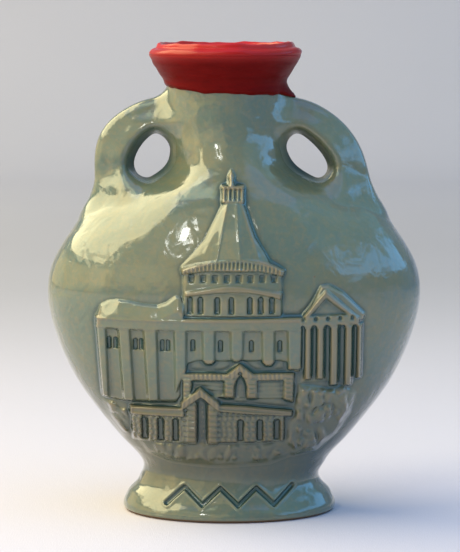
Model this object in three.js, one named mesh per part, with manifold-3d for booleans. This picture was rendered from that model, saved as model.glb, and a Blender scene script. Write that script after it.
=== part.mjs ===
// Pottery pilgrim's flask for blessed water: an oval belly with a moulded scene on its front,
// two ear handles, a pedestal foot, and a mouth closed with a cork and red sealing wax.
// Millimetres, +Z up, the scene faces -Y. The origin is the bottom centre of the flask's box.
import * as THREE from 'three';
import { mergeVertices } from 'three/addons/utils/BufferGeometryUtils.js';
import Module from 'manifold-3d';

const wasm = await Module();
wasm.setup();

// Fits and cuts
const clearance = 0.3;
const overrun = 2;

// Foot
const footHalfWidth = 27.8;
const footHalfDepth = 20.2;
const footRimWidth = 4.5;
const footRecess = 2.4;
const footFloor = 4;
const footBandLow = 4.4;
const footBandHigh = 8.6;
const bandStroke = 0.9;
const bandDepth = 0.6;
const bandPitch = 4.6;

// Belly, neck and lip
const waistHeight = 10.8;
const waistHalfWidth = 23.2;
const waistHalfDepth = 17.2;
const bellyHeight = 57.6;
const bellyHalfWidth = 48.4;
const bellyHalfDepth = 27;
const lipHeight = 118.6;
const flareLength = 6.6;
const neckLength = 13;
const neckRadius = 14.6;
const lipRadius = 18.1;
const lipRound = 0.8;
const wall = 3.8;

// How far the foot and the neck slumped aside in the kiln, and over what length the neck did
const footLean = -1.2;
const neckLean = -2.3;
const neckLeanLength = 24.3;

// Handles
const handleWidth = 10.2;
const handleDepth = 11.5;
const handleInset = 13.2;
const handleSink = 8.4;

// Cork and wax
const corkLength = 14;
const corkTopRadius = 10.9;
const corkFootRadius = 10.2;
const waxDepth = 9;
const waxThickness = 1.3;
const dripDrop = 1;
const dripWidth = 4.4;
const dripReach = 3;
const capRim = 3.2;
const capCrown = 1.7;

// How far the members of the scene stand proud of the belly
const fieldProud = 1;
const wallProud = 1.5;
const ribProud = 2.1;
const crestProud = 2.6;
const sunkProud = 0.6;

// Widths of the scene's repeated members
const pilasterWidth = 3;
const columnWidth = 1.7;
const windowWidth = 1.2;
const postWidth = 2.2;
const doorCaseWidth = 7.7;

// Facets round a section of the belly, of a handle and of a drip, steps along an arc of the scene,
// and rings along each stretch of an outline
const bellySides = 48;
const handleSides = 18;
const dripSides = 12;
const arcSteps = 10;
const ringsPerStretch = 2;

// Heights that hang from the lip, and how far out a handle reaches inside the belly's widest line
const flareHeight = lipHeight - flareLength;
const neckBase = flareHeight - neckLength;
const waxEdge = lipHeight - waxDepth;
const corkFoot = lipHeight - corkLength;
const handleReach = bellyHalfWidth - handleInset;

// Outlines of the foot and the belly: share of the height, then shares of the swell in half width
// and in half depth. The foot swells from the waist down, and the belly from the waist up and then
// from the neck down.
const footShares = [
  [0, 0.93], [0.13, 1], [0.32, 0.88], [0.52, 0.6], [0.7, 0.2], [0.88, 0.02], [1, 0],
];
const lowerBellyShares = [
  [0, 0, 0], [0.07, 0.056, 0.056], [0.16, 0.21, 0.21], [0.34, 0.49, 0.49], [0.51, 0.71, 0.71],
  [0.69, 0.87, 0.87], [0.85, 0.965, 0.965],
];
const upperBellyShares = [
  [0, 1, 1], [0.2, 0.95, 0.945], [0.4, 0.8, 0.79], [0.5, 0.71, 0.67], [0.58, 0.57, 0.57],
  [0.63, 0.43, 0.49], [0.69, 0.22, 0.39], [0.74, 0.11, 0.31], [0.81, 0.04, 0.2], [0.9, 0.01, 0.08],
  [1, 0, 0],
];
const lipShares = [[0, 0], [0.16, 0.08], [0.5, 0.48], [0.85, 0.9], [1, 1]];

// Route of a handle: shares of the way out from the neck and of the way down from its crown to the
// height where it ends in the shoulder, then of its width and of its depth. The end's own share of
// the way out is measured back from the belly's side instead.
const handleShares = [
  [-0.14, 0, 1.02, 1.1], [0.12, 0, 0.93, 1.02], [0.39, 0.03, 0.88, 1], [0.755, 0.18, 0.97, 1],
  [0.95, 0.355, 0.99, 1], [1, 0.5, 1.02, 1], [0.99, 0.64, 1.18, 1.05], [1.01, 0.82, 1.37, 1.15],
  [1, 1, 1.49, 1.3],
];
const handleFootShare = 0.445;

// Solids: joining and cutting
function solid(geometry) {
  const bare = geometry.clone();
  bare.deleteAttribute('normal');
  bare.deleteAttribute('uv');
  const merged = mergeVertices(bare);
  return new wasm.Manifold(new wasm.Mesh({
    numProp: 3,
    vertProperties: new Float32Array(merged.attributes.position.array),
    triVerts: new Uint32Array(merged.index.array),
  }));
}

function joined(solids) {
  return solids.reduce((all, next) => all.add(next));
}

// The belly stands straight. The foot's lean dies out across the waist, and the neck's sets in
// above the shoulder and is whole from just under the cork, so that the cork draws straight up.
const waistBandShares = [0.8, 1.2];
const leanEnd = corkFoot - clearance;

function lean(z) {
  const [low, high] = waistBandShares.map((share) => share * waistHeight);
  return footLean * (1 - THREE.MathUtils.smoothstep(z, low, high))
    + neckLean * THREE.MathUtils.smoothstep(z, leanEnd - neckLeanLength, leanEnd);
}

function leaningGeometry(piece) {
  const mesh = piece.getMesh();
  const positions = new Float32Array(mesh.vertProperties);
  for (let i = 0; i < positions.length; i += 3) positions[i] += lean(positions[i + 2]);
  const geometry = new THREE.BufferGeometry();
  geometry.setAttribute('position', new THREE.BufferAttribute(positions, 3));
  geometry.setIndex(new THREE.BufferAttribute(new Uint32Array(mesh.triVerts), 1));
  return geometry;
}

// A closed solid through rings of points, each ring with as many points as the tube has sides
function closedTube(positions, sides) {
  const rings = positions.length / 3 / sides;
  const centreOf = (ring) => [0, 1, 2].map((axis) => {
    let sum = 0;
    for (let i = 0; i < sides; i++) sum += positions[(ring * sides + i) * 3 + axis];
    return sum / sides;
  });
  const low = positions.length / 3;
  const all = [...positions, ...centreOf(0), ...centreOf(rings - 1)];
  const index = [];
  for (let i = 0; i < sides; i++) {
    const next = (i + 1) % sides;
    index.push(low, next, i);
    for (let k = 0; k + 1 < rings; k++) {
      const here = k * sides;
      const above = here + sides;
      index.push(here + i, here + next, above + next, here + i, above + next, above + i);
    }
    const top = (rings - 1) * sides;
    index.push(low + 1, top + i, top + next);
  }
  const geometry = new THREE.BufferGeometry();
  geometry.setAttribute('position', new THREE.Float32BufferAttribute(all, 3));
  geometry.setIndex(index);
  return solid(geometry);
}

// A closed loft through oval rings, each with a height, a half width and a half depth
function ovalLoft(rings) {
  const positions = [];
  for (const { z, a, b } of rings) {
    for (let i = 0; i < bellySides; i++) {
      const angle = (2 * Math.PI * i) / bellySides;
      positions.push(a * Math.cos(angle), b * Math.sin(angle), z);
    }
  }
  return closedTube(positions, bellySides);
}

// Rings along a smooth curve through points of height, half width and half depth
function ringsThrough(points) {
  const curve = new THREE.CatmullRomCurve3(
    points.map(([z, a, b]) => new THREE.Vector3(a, b, z)), false, 'centripetal');
  const count = (points.length - 1) * ringsPerStretch;
  return Array.from({ length: count + 1 }, (_, i) => {
    const at = curve.getPoint(i / count);
    const way = curve.getTangent(i / count);
    const rise = Math.max(way.z, Number.EPSILON);
    return { z: at.z, a: at.x, b: at.y, slopeA: way.x / rise, slopeB: way.y / rise };
  });
}

// The same rings with the surface moved out, or in where grow is below zero
function grown(rings, grow) {
  return rings.map(({ z, a, b, slopeA, slopeB }) => ({
    z,
    a: a + grow * Math.hypot(1, slopeA),
    b: b + grow * Math.hypot(1, slopeB),
  }));
}

function between(low, high, share) {
  return low + (high - low) * share;
}

const bellyRings = ringsThrough([
  ...lowerBellyShares.map(([up, wide, deep]) => [
    between(waistHeight, bellyHeight, up),
    between(waistHalfWidth, bellyHalfWidth, wide),
    between(waistHalfDepth, bellyHalfDepth, deep),
  ]),
  ...upperBellyShares.map(([up, wide, deep]) => [
    between(bellyHeight, neckBase, up),
    between(neckRadius, bellyHalfWidth, wide),
    between(neckRadius, bellyHalfDepth, deep),
  ]),
]);

// The lip flares up from the neck and is rounded over at its top.
const roundFoot = lipHeight - lipRound;
const lipRings = [
  ...lipShares.map(([up, out]) => {
    const radius = between(neckRadius, lipRadius, out);
    return { z: between(flareHeight, roundFoot, up), a: radius, b: radius, slopeA: 0, slopeB: 0 };
  }),
  { z: lipHeight, a: lipRadius - lipRound, b: lipRadius - lipRound, slopeA: 0, slopeB: 0 },
];

function flaskOutside(grow) {
  return ovalLoft(grown([...bellyRings, ...lipRings], grow));
}

// The belly's half width at a height, from the rings on either side of it
function halfWidthAt(height) {
  const above = bellyRings.findIndex((ring) => ring.z >= height);
  const [low, high] = [bellyRings[above - 1], bellyRings[above]];
  return between(low.a, high.a, (height - low.z) / (high.z - low.z));
}

// Belly, neck and lip in one wall, open at the waist into the foot and at the mouth
function flaskBody() {
  const inside = grown(bellyRings, -wall).filter((ring, i) => i % ringsPerStretch === 0);
  const first = inside[0];
  const last = inside.at(-1);
  const cavity = ovalLoft([
    { ...first, z: waistHeight - overrun },
    ...inside,
    { ...last, z: corkFoot },
  ]);
  return flaskOutside(0).subtract(cavity).subtract(bore());
}

function roundTaper(lowRadius, highRadius, low, high) {
  return ovalLoft([
    { z: low, a: lowRadius, b: lowRadius },
    { z: high, a: highRadius, b: highRadius },
  ]);
}

function bore() {
  const spread = (corkTopRadius - corkFootRadius) / corkLength;
  return roundTaper(
    corkFootRadius + clearance - spread * overrun, corkTopRadius + clearance + spread * overrun,
    corkFoot - overrun, lipHeight + overrun);
}

function corkStopper() {
  return roundTaper(corkFootRadius, corkTopRadius, corkFoot, lipHeight);
}

// The pedestal: hollow above its floor, hollowed a little below it, with cut strokes in front
function foot() {
  const outside = ringsThrough(footShares.map(([up, out]) => [
    waistHeight * up,
    between(waistHalfWidth, footHalfWidth, out),
    between(waistHalfDepth, footHalfDepth, out),
  ]));
  const hollow = { a: waistHalfWidth - wall, b: waistHalfDepth - wall };
  const recess = { a: footHalfWidth - footRimWidth, b: footHalfDepth - footRimWidth };
  return ovalLoft(outside)
    .subtract(ovalLoft([
      { z: footRecess + footFloor, ...hollow },
      { z: waistHeight + overrun, ...hollow },
    ]))
    .subtract(ovalLoft([{ z: -overrun, ...recess }, { z: footRecess, ...recess }]))
    .subtract(footBand(outside));
}

// A plain zigzag of cut strokes across the front of the foot, all to one depth
const bandReachShare = 0.76;

function footBand(outside) {
  const middle = (footBandLow + footBandHigh) / 2;
  const rise = footBandHigh - footBandLow;
  const count = Math.floor((waistHalfWidth * bandReachShare) / bandPitch);
  const strokes = [];
  for (let i = -count; i <= count; i++) {
    const stroke = new THREE.BoxGeometry(bandStroke, 2 * footHalfDepth, Math.hypot(rise, bandPitch));
    stroke.rotateY((i % 2 ? 1 : -1) * Math.atan2(bandPitch, rise));
    stroke.translate(i * bandPitch, -footHalfDepth, middle);
    strokes.push(solid(stroke));
  }
  return joined(strokes).subtract(ovalLoft(grown(outside, -bandDepth)));
}

// An ear handle: a bowed bar from the neck, under the wax, round to the shoulder, where it spreads
function handle(side) {
  const crownWidth = Math.max(handleShares[0][2], handleShares[1][2]) * handleWidth;
  const crown = waxEdge - dripDrop - clearance - crownWidth / 2;
  const footHeight = between(bellyHeight, neckBase, handleFootShare);
  const reach = handleReach - handleWidth / 2;
  const end = halfWidthAt(footHeight) - handleSink;
  const middle = new THREE.CatmullRomCurve3(handleShares.map(([out, down], i) => new THREE.Vector3(
    i + 1 < handleShares.length ? between(neckRadius, reach, out) : end,
    0, between(crown, footHeight, down))));
  const section = new THREE.CatmullRomCurve3(handleShares.map(([, , wide, deep]) => (
    new THREE.Vector3(wide * handleWidth / 2, deep * handleDepth / 2, 0))));
  const count = (handleShares.length - 1) * ringsPerStretch;
  const positions = [];
  for (let k = 0; k <= count; k++) {
    const at = middle.getPoint(k / count);
    const along = middle.getTangent(k / count);
    const size = section.getPoint(k / count);
    for (let i = 0; i < handleSides; i++) {
      const angle = (-side * 2 * Math.PI * i) / handleSides;
      const out = size.x * Math.cos(angle);
      positions.push(
        side * (at.x - along.z * out), size.y * Math.sin(angle), at.z + along.x * out);
    }
  }
  return closedTube(positions, handleSides).subtract(flaskOutside(clearance));
}

// Wax on the outside of the lip, from its dipped edge up to the cut at the top of the lip
function waxCollar() {
  const straight = { a: neckRadius, b: neckRadius, slopeA: 0, slopeB: 0 };
  const coat = (grow, low) => ovalLoft(grown([
    { z: low, ...straight }, { z: waxEdge + waxThickness, ...straight }, ...lipRings,
  ], grow));
  const edge = grown([{ z: waxEdge, ...straight }], waxThickness / 2);
  const skirt = grown([{ z: waxEdge + waxThickness / 2, ...straight }], waxThickness);
  const outside = joined([
    ovalLoft([...edge, ...skirt, { ...skirt[0], z: flareHeight }]),
    coat(waxThickness, waxEdge + waxThickness / 2),
  ]);
  const drip = new THREE.SphereGeometry(1, dripSides, dripSides / 2);
  drip.rotateX(Math.PI / 2);
  drip.scale(dripReach, dripWidth / 2, 2 * dripDrop);
  drip.translate(neckRadius + waxThickness / 2, -dripWidth / 4, waxEdge + dripDrop);
  return outside.add(solid(drip)).subtract(coat(clearance, waxEdge - overrun * dripDrop));
}

// Wax over the mouth and the cork: a shallow dish with a raised rim. The shares are of the wax's
// thickness, outwards from the edge, and of the rim's height.
const capShares = [[0.35, 0.3], [0, 0.62], [-1, 1], [-2, 1]];

function waxCap() {
  const radius = lipRadius - lipRound + waxThickness;
  const profile = [
    [0, 0], [radius, 0],
    ...capShares.map(([out, up]) => [radius + out * waxThickness, up * capRim]),
    [radius - 4 * waxThickness, capCrown], [0, capCrown],
  ];
  const cap = new THREE.LatheGeometry(profile.map((p) => new THREE.Vector2(...p)), bellySides);
  cap.rotateX(Math.PI / 2);
  cap.translate(0, 0, lipHeight);
  return solid(cap);
}

// Scene: a point's place is a share of the belly's half width, and a share of its height from the
// widest line down to the waist, where it is below zero, or up to the neck.
function place([across, up]) {
  const span = up < 0 ? bellyHeight - waistHeight : neckBase - bellyHeight;
  return new THREE.Vector2(across * bellyHalfWidth, bellyHeight + up * span);
}

const reach = bellyHalfDepth + crestProud + overrun;

// A prism with this outline, seen from the front, from the flask's middle out past the scene
function prism(points) {
  const shape = new THREE.Shape(points);
  const geometry = new THREE.ExtrudeGeometry(shape, { depth: reach, bevelEnabled: false });
  geometry.rotateX(Math.PI / 2);
  return solid(geometry);
}

function upright(centre, width, low, high) {
  return [[-1, low], [1, low], [1, high], [-1, high]].map(([side, height]) => {
    const at = place([centre, height]);
    at.x += (side * width) / 2;
    return at;
  });
}

// The outline moved out all round by a margin, for the cut that one member makes in another
const sharpestMitreShare = 0.5;

function widened(points, margin) {
  const ordered = THREE.ShapeUtils.isClockWise(points) ? [...points].reverse() : points;
  return ordered.map((point, i) => {
    const before = ordered.at(i - 1);
    const after = ordered[(i + 1) % ordered.length];
    const inward = point.clone().sub(before).normalize();
    const outward = after.clone().sub(point).normalize();
    const normal = new THREE.Vector2(inward.y + outward.y, -inward.x - outward.x).normalize();
    const spread = Math.max(normal.x * inward.y - normal.y * inward.x, sharpestMitreShare);
    return point.clone().addScaledVector(normal, margin / spread);
  });
}

const skins = new Map();

function skin(proud) {
  if (!skins.has(proud)) skins.set(proud, flaskOutside(proud));
  return skins.get(proud);
}

// A sprig: raised members of given outlines and heights, with sunk ones cut back to sunkProud,
// cleared round the members that stand in front of it
function sprig(raised, sunk = [], inFront = []) {
  let piece = joined(raised.map(([points, proud]) => prism(points).intersect(skin(proud))));
  for (const points of sunk) piece = piece.subtract(prism(points).subtract(skin(sunkProud)));
  for (const points of inFront) piece = piece.subtract(prism(widened(points, clearance)));
  return piece.subtract(skin(clearance));
}

// A band between two arcs of one crown: centre, half width, heights of its ends, and its rise
function arcBand(centre, halfSpan, low, high, crown) {
  const along = Array.from({ length: arcSteps + 1 }, (_, i) => (2 * i) / arcSteps - 1);
  const arc = (base) => along.map((t) => place([centre + halfSpan * t, base + crown * (1 - t * t)]));
  return [...arc(low), ...arc(high).reverse()];
}

const outline = (shares) => shares.map(place);
const evenly = (from, to, count) => Array.from(
  { length: count }, (_, i) => between(from, to, i / (count - 1)));

// Outlines of the scene's members, in shares as place() reads them
const finialShares = [
  [-0.028, 0.69], [0, 0.69], [-0.004, 0.73], [-0.001, 0.755], [-0.014, 0.78], [-0.027, 0.755],
  [-0.024, 0.73],
];
const lanternShares = [[-0.058, 0.6], [0.048, 0.6], [0.048, 0.69], [-0.058, 0.69]];
const domeEdgeShares = [
  [-0.06, 0.59], [0.049, 0.59], [0.105, 0.4], [0.18, 0.25], [-0.27, 0.22], [-0.2, 0.3], [-0.15, 0.38],
];
const domeFaceShares = [[-0.047, 0.59], [0.038, 0.59], [0.14, 0.25], [-0.175, 0.24]];
const roofShares = [
  [-0.71, -0.08], [-0.7, -0.03], [-0.65, 0], [-0.6, 0.005], [-0.55, -0.005], [-0.47, -0.02],
  [-0.4, -0.022], [-0.35, 0], [-0.29, 0.035], [-0.268, 0.02], [-0.268, -0.08],
];
const naveShares = [
  [-0.72, -0.12], [-0.69, -0.54], [-0.53, -0.555], [-0.3, -0.52], [-0.28, -0.5], [-0.28, -0.375],
  [0.335, -0.365], [0.335, -0.12],
];
const entablatureShares = [[-0.72, -0.145], [0.335, -0.14], [0.335, -0.09], [-0.72, -0.09]];
const porchShares = [[0.35, -0.42], [0.5, -0.44], [0.655, -0.42], [0.655, -0.1], [0.35, -0.1]];
const gableShares = [[0.345, -0.13], [0.66, -0.13], [0.665, -0.09], [0.475, 0.07], [0.345, -0.08]];
const upperGateShares = [
  [-0.268, -0.588], [0.308, -0.588], [0.308, -0.385], [0.107, -0.39], [0.031, -0.335], [-0.045, -0.39],
  [-0.268, -0.385],
];
const upperDoorShares = [
  [0.004, -0.56], [0.066, -0.56], [0.066, -0.44], [0.035, -0.4], [0.004, -0.44],
];
const lowerGateShares = [
  [-0.535, -0.785], [0.255, -0.775], [0.3, -0.6], [-0.075, -0.565], [-0.178, -0.468],
  [-0.28, -0.575], [-0.545, -0.585],
];
const lowerRoofShares = [
  [-0.545, -0.635], [-0.28, -0.625], [-0.178, -0.52], [-0.075, -0.625], [0.3, -0.65],
  [0.3, -0.6], [-0.075, -0.565], [-0.178, -0.468], [-0.28, -0.575], [-0.545, -0.585],
];
const lowerDoorShares = [
  [-0.195, -0.77], [-0.14, -0.77], [-0.14, -0.56], [-0.167, -0.535], [-0.195, -0.56],
];
const leftBushShares = [
  [-0.69, -0.59], [-0.66, -0.565], [-0.61, -0.575], [-0.56, -0.6], [-0.555, -0.79], [-0.6, -0.76],
  [-0.66, -0.68],
];
const rightBushShares = [
  [0.27, -0.8], [0.32, -0.62], [0.33, -0.48], [0.38, -0.45], [0.44, -0.47], [0.5, -0.46],
  [0.57, -0.45], [0.63, -0.5], [0.62, -0.62], [0.54, -0.76], [0.42, -0.84], [0.32, -0.86],
];
const groundShares = [
  [-0.5, -0.8], [0.25, -0.79], [0.24, -0.86], [0.12, -0.9], [-0.1, -0.91], [-0.32, -0.9],
  [-0.44, -0.86],
];

// Bands across the drum: half width, heights of the ends, and rise in the middle
const drumCentreShare = -0.008;
const corniceShares = [0.262, 0.17, 0.22, 0.042];
const drumShares = [0.252, -0.07, 0.16, 0];
const drumRingShares = [0.257, 0.04, 0.065, 0.032];
const drumWallShares = [0.244, -0.065, 0.05, 0.01];

// Heights between which the upright members run, and the places of their centre lines. A pilaster
// has its centre line and the height of its own foot.
const drumLightSpanShares = [-0.05, 0.03];
const drumLightShares = evenly(-0.22, 0.204, 7);
const pilasterTopShare = -0.12;
const pilasterShares = [
  [-0.692, -0.53], [-0.57, -0.53], [-0.43, -0.53], [-0.275, -0.37], [-0.13, -0.333],
  [0.014, -0.314], [0.176, -0.338], [0.305, -0.36],
];
const naveLightSpanShares = [-0.27, -0.2];
const naveLightShares = [-0.635, -0.497, -0.352, -0.21, -0.07, 0.09, 0.24];
const columnSpanShares = [-0.42, -0.11];
const columnShares = [0.381, 0.446, 0.518, 0.59, 0.648];
const upperPostSpanShares = [-0.58, -0.39];
const upperPostShares = [-0.246, 0.286];
const upperDoorCentreShare = 0.035;
const lowerPostSpanShares = [-0.77, -0.6];
const lowerPostShares = [-0.22, -0.115];
const gateLightSpanShares = [-0.77, -0.66];
const gateLightShares = [-0.46, -0.39, -0.33, 0.09, 0.16, 0.225];

function scene() {
  const band = (shares) => arcBand(drumCentreShare, ...shares);
  const row = (centres, width, span) => centres.map((x) => upright(x, width, ...span));
  const raised = (outlines, proud) => outlines.map((points) => [points, proud]);
  const gates = [outline(upperGateShares), outline(lowerGateShares)];
  const bushes = [outline(leftBushShares), outline(rightBushShares)];
  return {
    relief_lantern: sprig([
      [outline(finialShares), wallProud],
      [outline(lanternShares), ribProud],
    ]),
    relief_dome: sprig([
      [outline(domeEdgeShares), wallProud],
      [outline(domeFaceShares), ribProud],
      [band(corniceShares), crestProud],
    ]),
    relief_drum: sprig(
      [
        [band(drumShares), fieldProud],
        [band(drumRingShares), ribProud],
        [band(drumWallShares), wallProud],
      ],
      row(drumLightShares, windowWidth, drumLightSpanShares),
    ),
    relief_roof: sprig([[outline(roofShares), ribProud]]),
    relief_nave: sprig(
      [
        [outline(naveShares), fieldProud],
        [outline(entablatureShares), ribProud],
        ...raised(pilasterShares.map(([x, low]) => (
          upright(x, pilasterWidth, low, pilasterTopShare))), ribProud),
      ],
      row(naveLightShares, windowWidth, naveLightSpanShares),
      [...gates, ...bushes],
    ),
    relief_portico: sprig(
      [
        [outline(porchShares), fieldProud],
        [outline(gableShares), crestProud],
        ...raised(row(columnShares, columnWidth, columnSpanShares), ribProud),
      ],
      [],
      bushes,
    ),
    relief_upper_gate: sprig(
      [
        [outline(upperGateShares), wallProud],
        [upright(upperDoorCentreShare, doorCaseWidth, ...upperPostSpanShares), ribProud],
        ...raised(row(upperPostShares, postWidth, upperPostSpanShares), ribProud),
      ],
      [outline(upperDoorShares)],
      [outline(lowerGateShares)],
    ),
    relief_lower_gate: sprig(
      [
        [outline(lowerGateShares), wallProud],
        [outline(lowerRoofShares), crestProud],
        ...raised(row(lowerPostShares, postWidth, lowerPostSpanShares), ribProud),
      ],
      [outline(lowerDoorShares), ...row(gateLightShares, windowWidth, gateLightSpanShares)],
    ),
    relief_left_bush: sprig([[outline(leftBushShares), fieldProud]], [], gates),
    relief_right_bush: sprig([[outline(rightBushShares), wallProud]], [], gates),
    relief_ground: sprig([[outline(groundShares), fieldProud]], [], gates),
  };
}

// Finishes
const finish = (color, roughness) => new THREE.MeshStandardMaterial({ color, roughness });
const glaze = () => finish(0x7f8878, 0.2);
const wax = () => finish(0x8c1c18, 0.35);
const cork = () => finish(0xb08a5c, 0.9);

const pieces = {
  flask_body: [flaskBody(), glaze()],
  foot: [foot(), glaze()],
  handle_left: [handle(-1), glaze()],
  handle_right: [handle(1), glaze()],
  wax_collar: [waxCollar(), wax()],
  wax_cap: [waxCap(), wax()],
  cork_stopper: [corkStopper(), cork()],
};
for (const [name, piece] of Object.entries(scene())) pieces[name] = [piece, glaze()];

// The flask's middle lies behind the origin by half of what the belly's ribs stand proud in front.
const flask = new THREE.Group();
flask.position.y = ribProud / 2;
for (const [name, [piece, material]] of Object.entries(pieces)) {
  const mesh = new THREE.Mesh(leaningGeometry(piece), material);
  mesh.name = name;
  flask.add(mesh);
}

export default flask;
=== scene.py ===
import functools
import math

import bpy
import numpy as np
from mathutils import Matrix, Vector


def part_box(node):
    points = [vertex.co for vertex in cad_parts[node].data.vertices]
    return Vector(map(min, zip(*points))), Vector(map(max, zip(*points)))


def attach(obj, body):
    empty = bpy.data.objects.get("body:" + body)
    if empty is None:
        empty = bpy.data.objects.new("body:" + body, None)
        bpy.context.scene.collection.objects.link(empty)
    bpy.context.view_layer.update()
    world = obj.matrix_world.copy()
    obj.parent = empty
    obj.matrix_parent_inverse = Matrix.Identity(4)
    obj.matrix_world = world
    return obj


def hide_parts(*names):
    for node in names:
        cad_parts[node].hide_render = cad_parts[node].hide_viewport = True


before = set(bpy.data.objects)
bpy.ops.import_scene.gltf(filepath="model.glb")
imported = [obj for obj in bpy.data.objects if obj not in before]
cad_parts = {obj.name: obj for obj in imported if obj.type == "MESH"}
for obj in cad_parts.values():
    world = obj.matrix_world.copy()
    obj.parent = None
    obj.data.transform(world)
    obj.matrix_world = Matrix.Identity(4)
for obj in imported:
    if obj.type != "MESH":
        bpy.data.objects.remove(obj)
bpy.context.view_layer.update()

bl_info = {
    "name": "Pilgrim's flask",
    "version": (1, 0, 0),
    "blender": (4, 5, 0),
    "location": "View3D > Sidebar > Flask",
    "description": "A glazed pottery flask for blessed water, with a moulded scene and sealing wax",
    "category": "Add Mesh",
}

# Lengths are in millimetres until a mesh is written, where MM turns them to metres.
MM = 0.001
BODY_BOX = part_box("flask_body")

# Belly, neck, lip and foot, as the part's own solids have them
BELLY_HALF_WIDTH = BODY_BOX[1].x / MM
LIP_HEIGHT = BODY_BOX[1].z / MM
WAIST_HEIGHT = BODY_BOX[0].z / MM
BACK = BODY_BOX[1].y / MM
BELLY_HALF_DEPTH = 27.0
AXIS_Y = BACK - BELLY_HALF_DEPTH
BELLY_HEIGHT = 57.6
WAIST_HALF_WIDTH = 23.2
WAIST_HALF_DEPTH = 17.2
NECK_RADIUS = 14.6
FLARE_HEIGHT = LIP_HEIGHT - 6.6
NECK_BASE = FLARE_HEIGHT - 13.0
LIP_RADIUS = 18.1
LIP_ROUND = 0.8
FOOT_HALF_WIDTH = 27.8
FOOT_HALF_DEPTH = 20.2
FOOT_RIM_WIDTH = 4.5
FOOT_RECESS = 2.4
FOOT_FLOOR = 4.0
CORK_FOOT = LIP_HEIGHT - 14.0
CORK_TOP_RADIUS = 10.9
CORK_FOOT_RADIUS = 10.2
FIT = 0.3

# The kiln let the foot and the neck slump aside: how far, and over what heights
FOOT_LEAN = -1.2
NECK_LEAN = -2.3
FOOT_LEAN_SPAN = (0.8 * WAIST_HEIGHT, 1.2 * WAIST_HEIGHT)
NECK_LEAN_SPAN = (CORK_FOOT - FIT - 24.3, CORK_FOOT - FIT)

# Outlines: share of the height, then shares of the swell in half width and in half depth
FOOT_SHARES = [
    (0, 0.93, 0.93), (0.13, 1, 1), (0.24, 0.96, 0.86), (0.32, 0.88, 0.68), (0.42, 0.76, 0.45),
    (0.52, 0.6, 0.3), (0.7, 0.2, 0.13), (0.88, 0.02, 0.03),
]
LOWER_SHARES = [
    (0, 0, 0), (0.07, 0.056, 0.056), (0.16, 0.21, 0.21), (0.34, 0.49, 0.49), (0.51, 0.71, 0.71),
    (0.69, 0.87, 0.87), (0.85, 0.965, 0.965),
]
UPPER_SHARES = [
    (0, 1, 1), (0.2, 0.95, 0.945), (0.4, 0.8, 0.79), (0.5, 0.71, 0.67), (0.58, 0.57, 0.57),
    (0.63, 0.45, 0.49), (0.69, 0.255, 0.39), (0.74, 0.135, 0.31), (0.81, 0.045, 0.2),
    (0.9, 0.01, 0.08), (1, 0, 0),
]
LIP_SHARES = [(0, 0, 0), (0.16, 0.08, 0.08), (0.5, 0.48, 0.48), (0.85, 0.9, 0.9), (1, 1, 1)]
# Each part of the outline: from and to in height, in half width and in half depth, and its shares
OUTLINE_PARTS = [
    ((0, WAIST_HEIGHT), (WAIST_HALF_WIDTH, FOOT_HALF_WIDTH), (WAIST_HALF_DEPTH, FOOT_HALF_DEPTH),
     FOOT_SHARES),
    ((WAIST_HEIGHT, BELLY_HEIGHT), (WAIST_HALF_WIDTH, BELLY_HALF_WIDTH),
     (WAIST_HALF_DEPTH, BELLY_HALF_DEPTH), LOWER_SHARES),
    ((BELLY_HEIGHT, NECK_BASE), (NECK_RADIUS, BELLY_HALF_WIDTH), (NECK_RADIUS, BELLY_HALF_DEPTH),
     UPPER_SHARES),
    ((FLARE_HEIGHT, LIP_HEIGHT - LIP_ROUND), (NECK_RADIUS, LIP_RADIUS), (NECK_RADIUS, LIP_RADIUS),
     LIP_SHARES),
]

# Handle: shares of the way out and down, then of its width and depth, from the neck round to the
# shoulder, and its section from the outer edge to the hole, out and deep
HANDLE_WIDTH = 10.2
HANDLE_DEPTH = 11.5
HANDLE_REACH = BELLY_HALF_WIDTH - 13.2
HANDLE_SINK = 8.4
HANDLE_CROWN = LIP_HEIGHT - 15.5
HANDLE_FOOT_SHARE = 0.445
HANDLE_SHARES = [
    (-0.14, 0, 1.02, 1.1), (0.12, 0, 0.93, 1.02), (0.39, 0.03, 0.88, 1), (0.755, 0.18, 0.97, 1),
    (0.95, 0.355, 0.99, 1), (1, 0.5, 1.02, 1), (0.99, 0.64, 1.18, 1.05), (1.01, 0.82, 1.37, 1.15),
    (1, 1, 1.49, 1.3),
]
SECTION_SHARES = [
    (1, 0), (0.985, 0.2), (0.93, 0.37), (0.8, 0.51), (0.4, 0.69), (0, 0.87), (-0.25, 0.97),
    (-0.42, 1), (-0.6, 0.92), (-0.77, 0.7), (-0.91, 0.38), (-1, 0),
]

# The shoulder is thumbed thinner under each handle's hole: how much, from how far out to the side,
# and over what heights
PINCH = 0.2
PINCH_SPAN = (0.42, 0.84)
PINCH_RISE = (72, 82)
PINCH_FALL = (90, 96)

# Fineness of the meshes
PROFILE_SAMPLES = 2400
BODY_SIDES = 256
FOOT_SIDES = 512
RING_STEP = 1.1
HANDLE_SIDES = 72
HANDLE_RINGS = 90
FILLET_RINGS = 12
HANDLE_SAMPLES = 700
HANDLE_OVERRUN = 260
NECK_FILLET = 1.45
FACE_FILLET = 2.4
WAX_SIDES = 288


def length(name, description, default):
    return bpy.props.FloatProperty(
        name=name, description=description, default=default, unit="LENGTH")


def colour(name, description, default):
    return bpy.props.FloatVectorProperty(
        name=name, description=description + ", in sRGB", default=default, subtype="COLOR_GAMMA")


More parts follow.
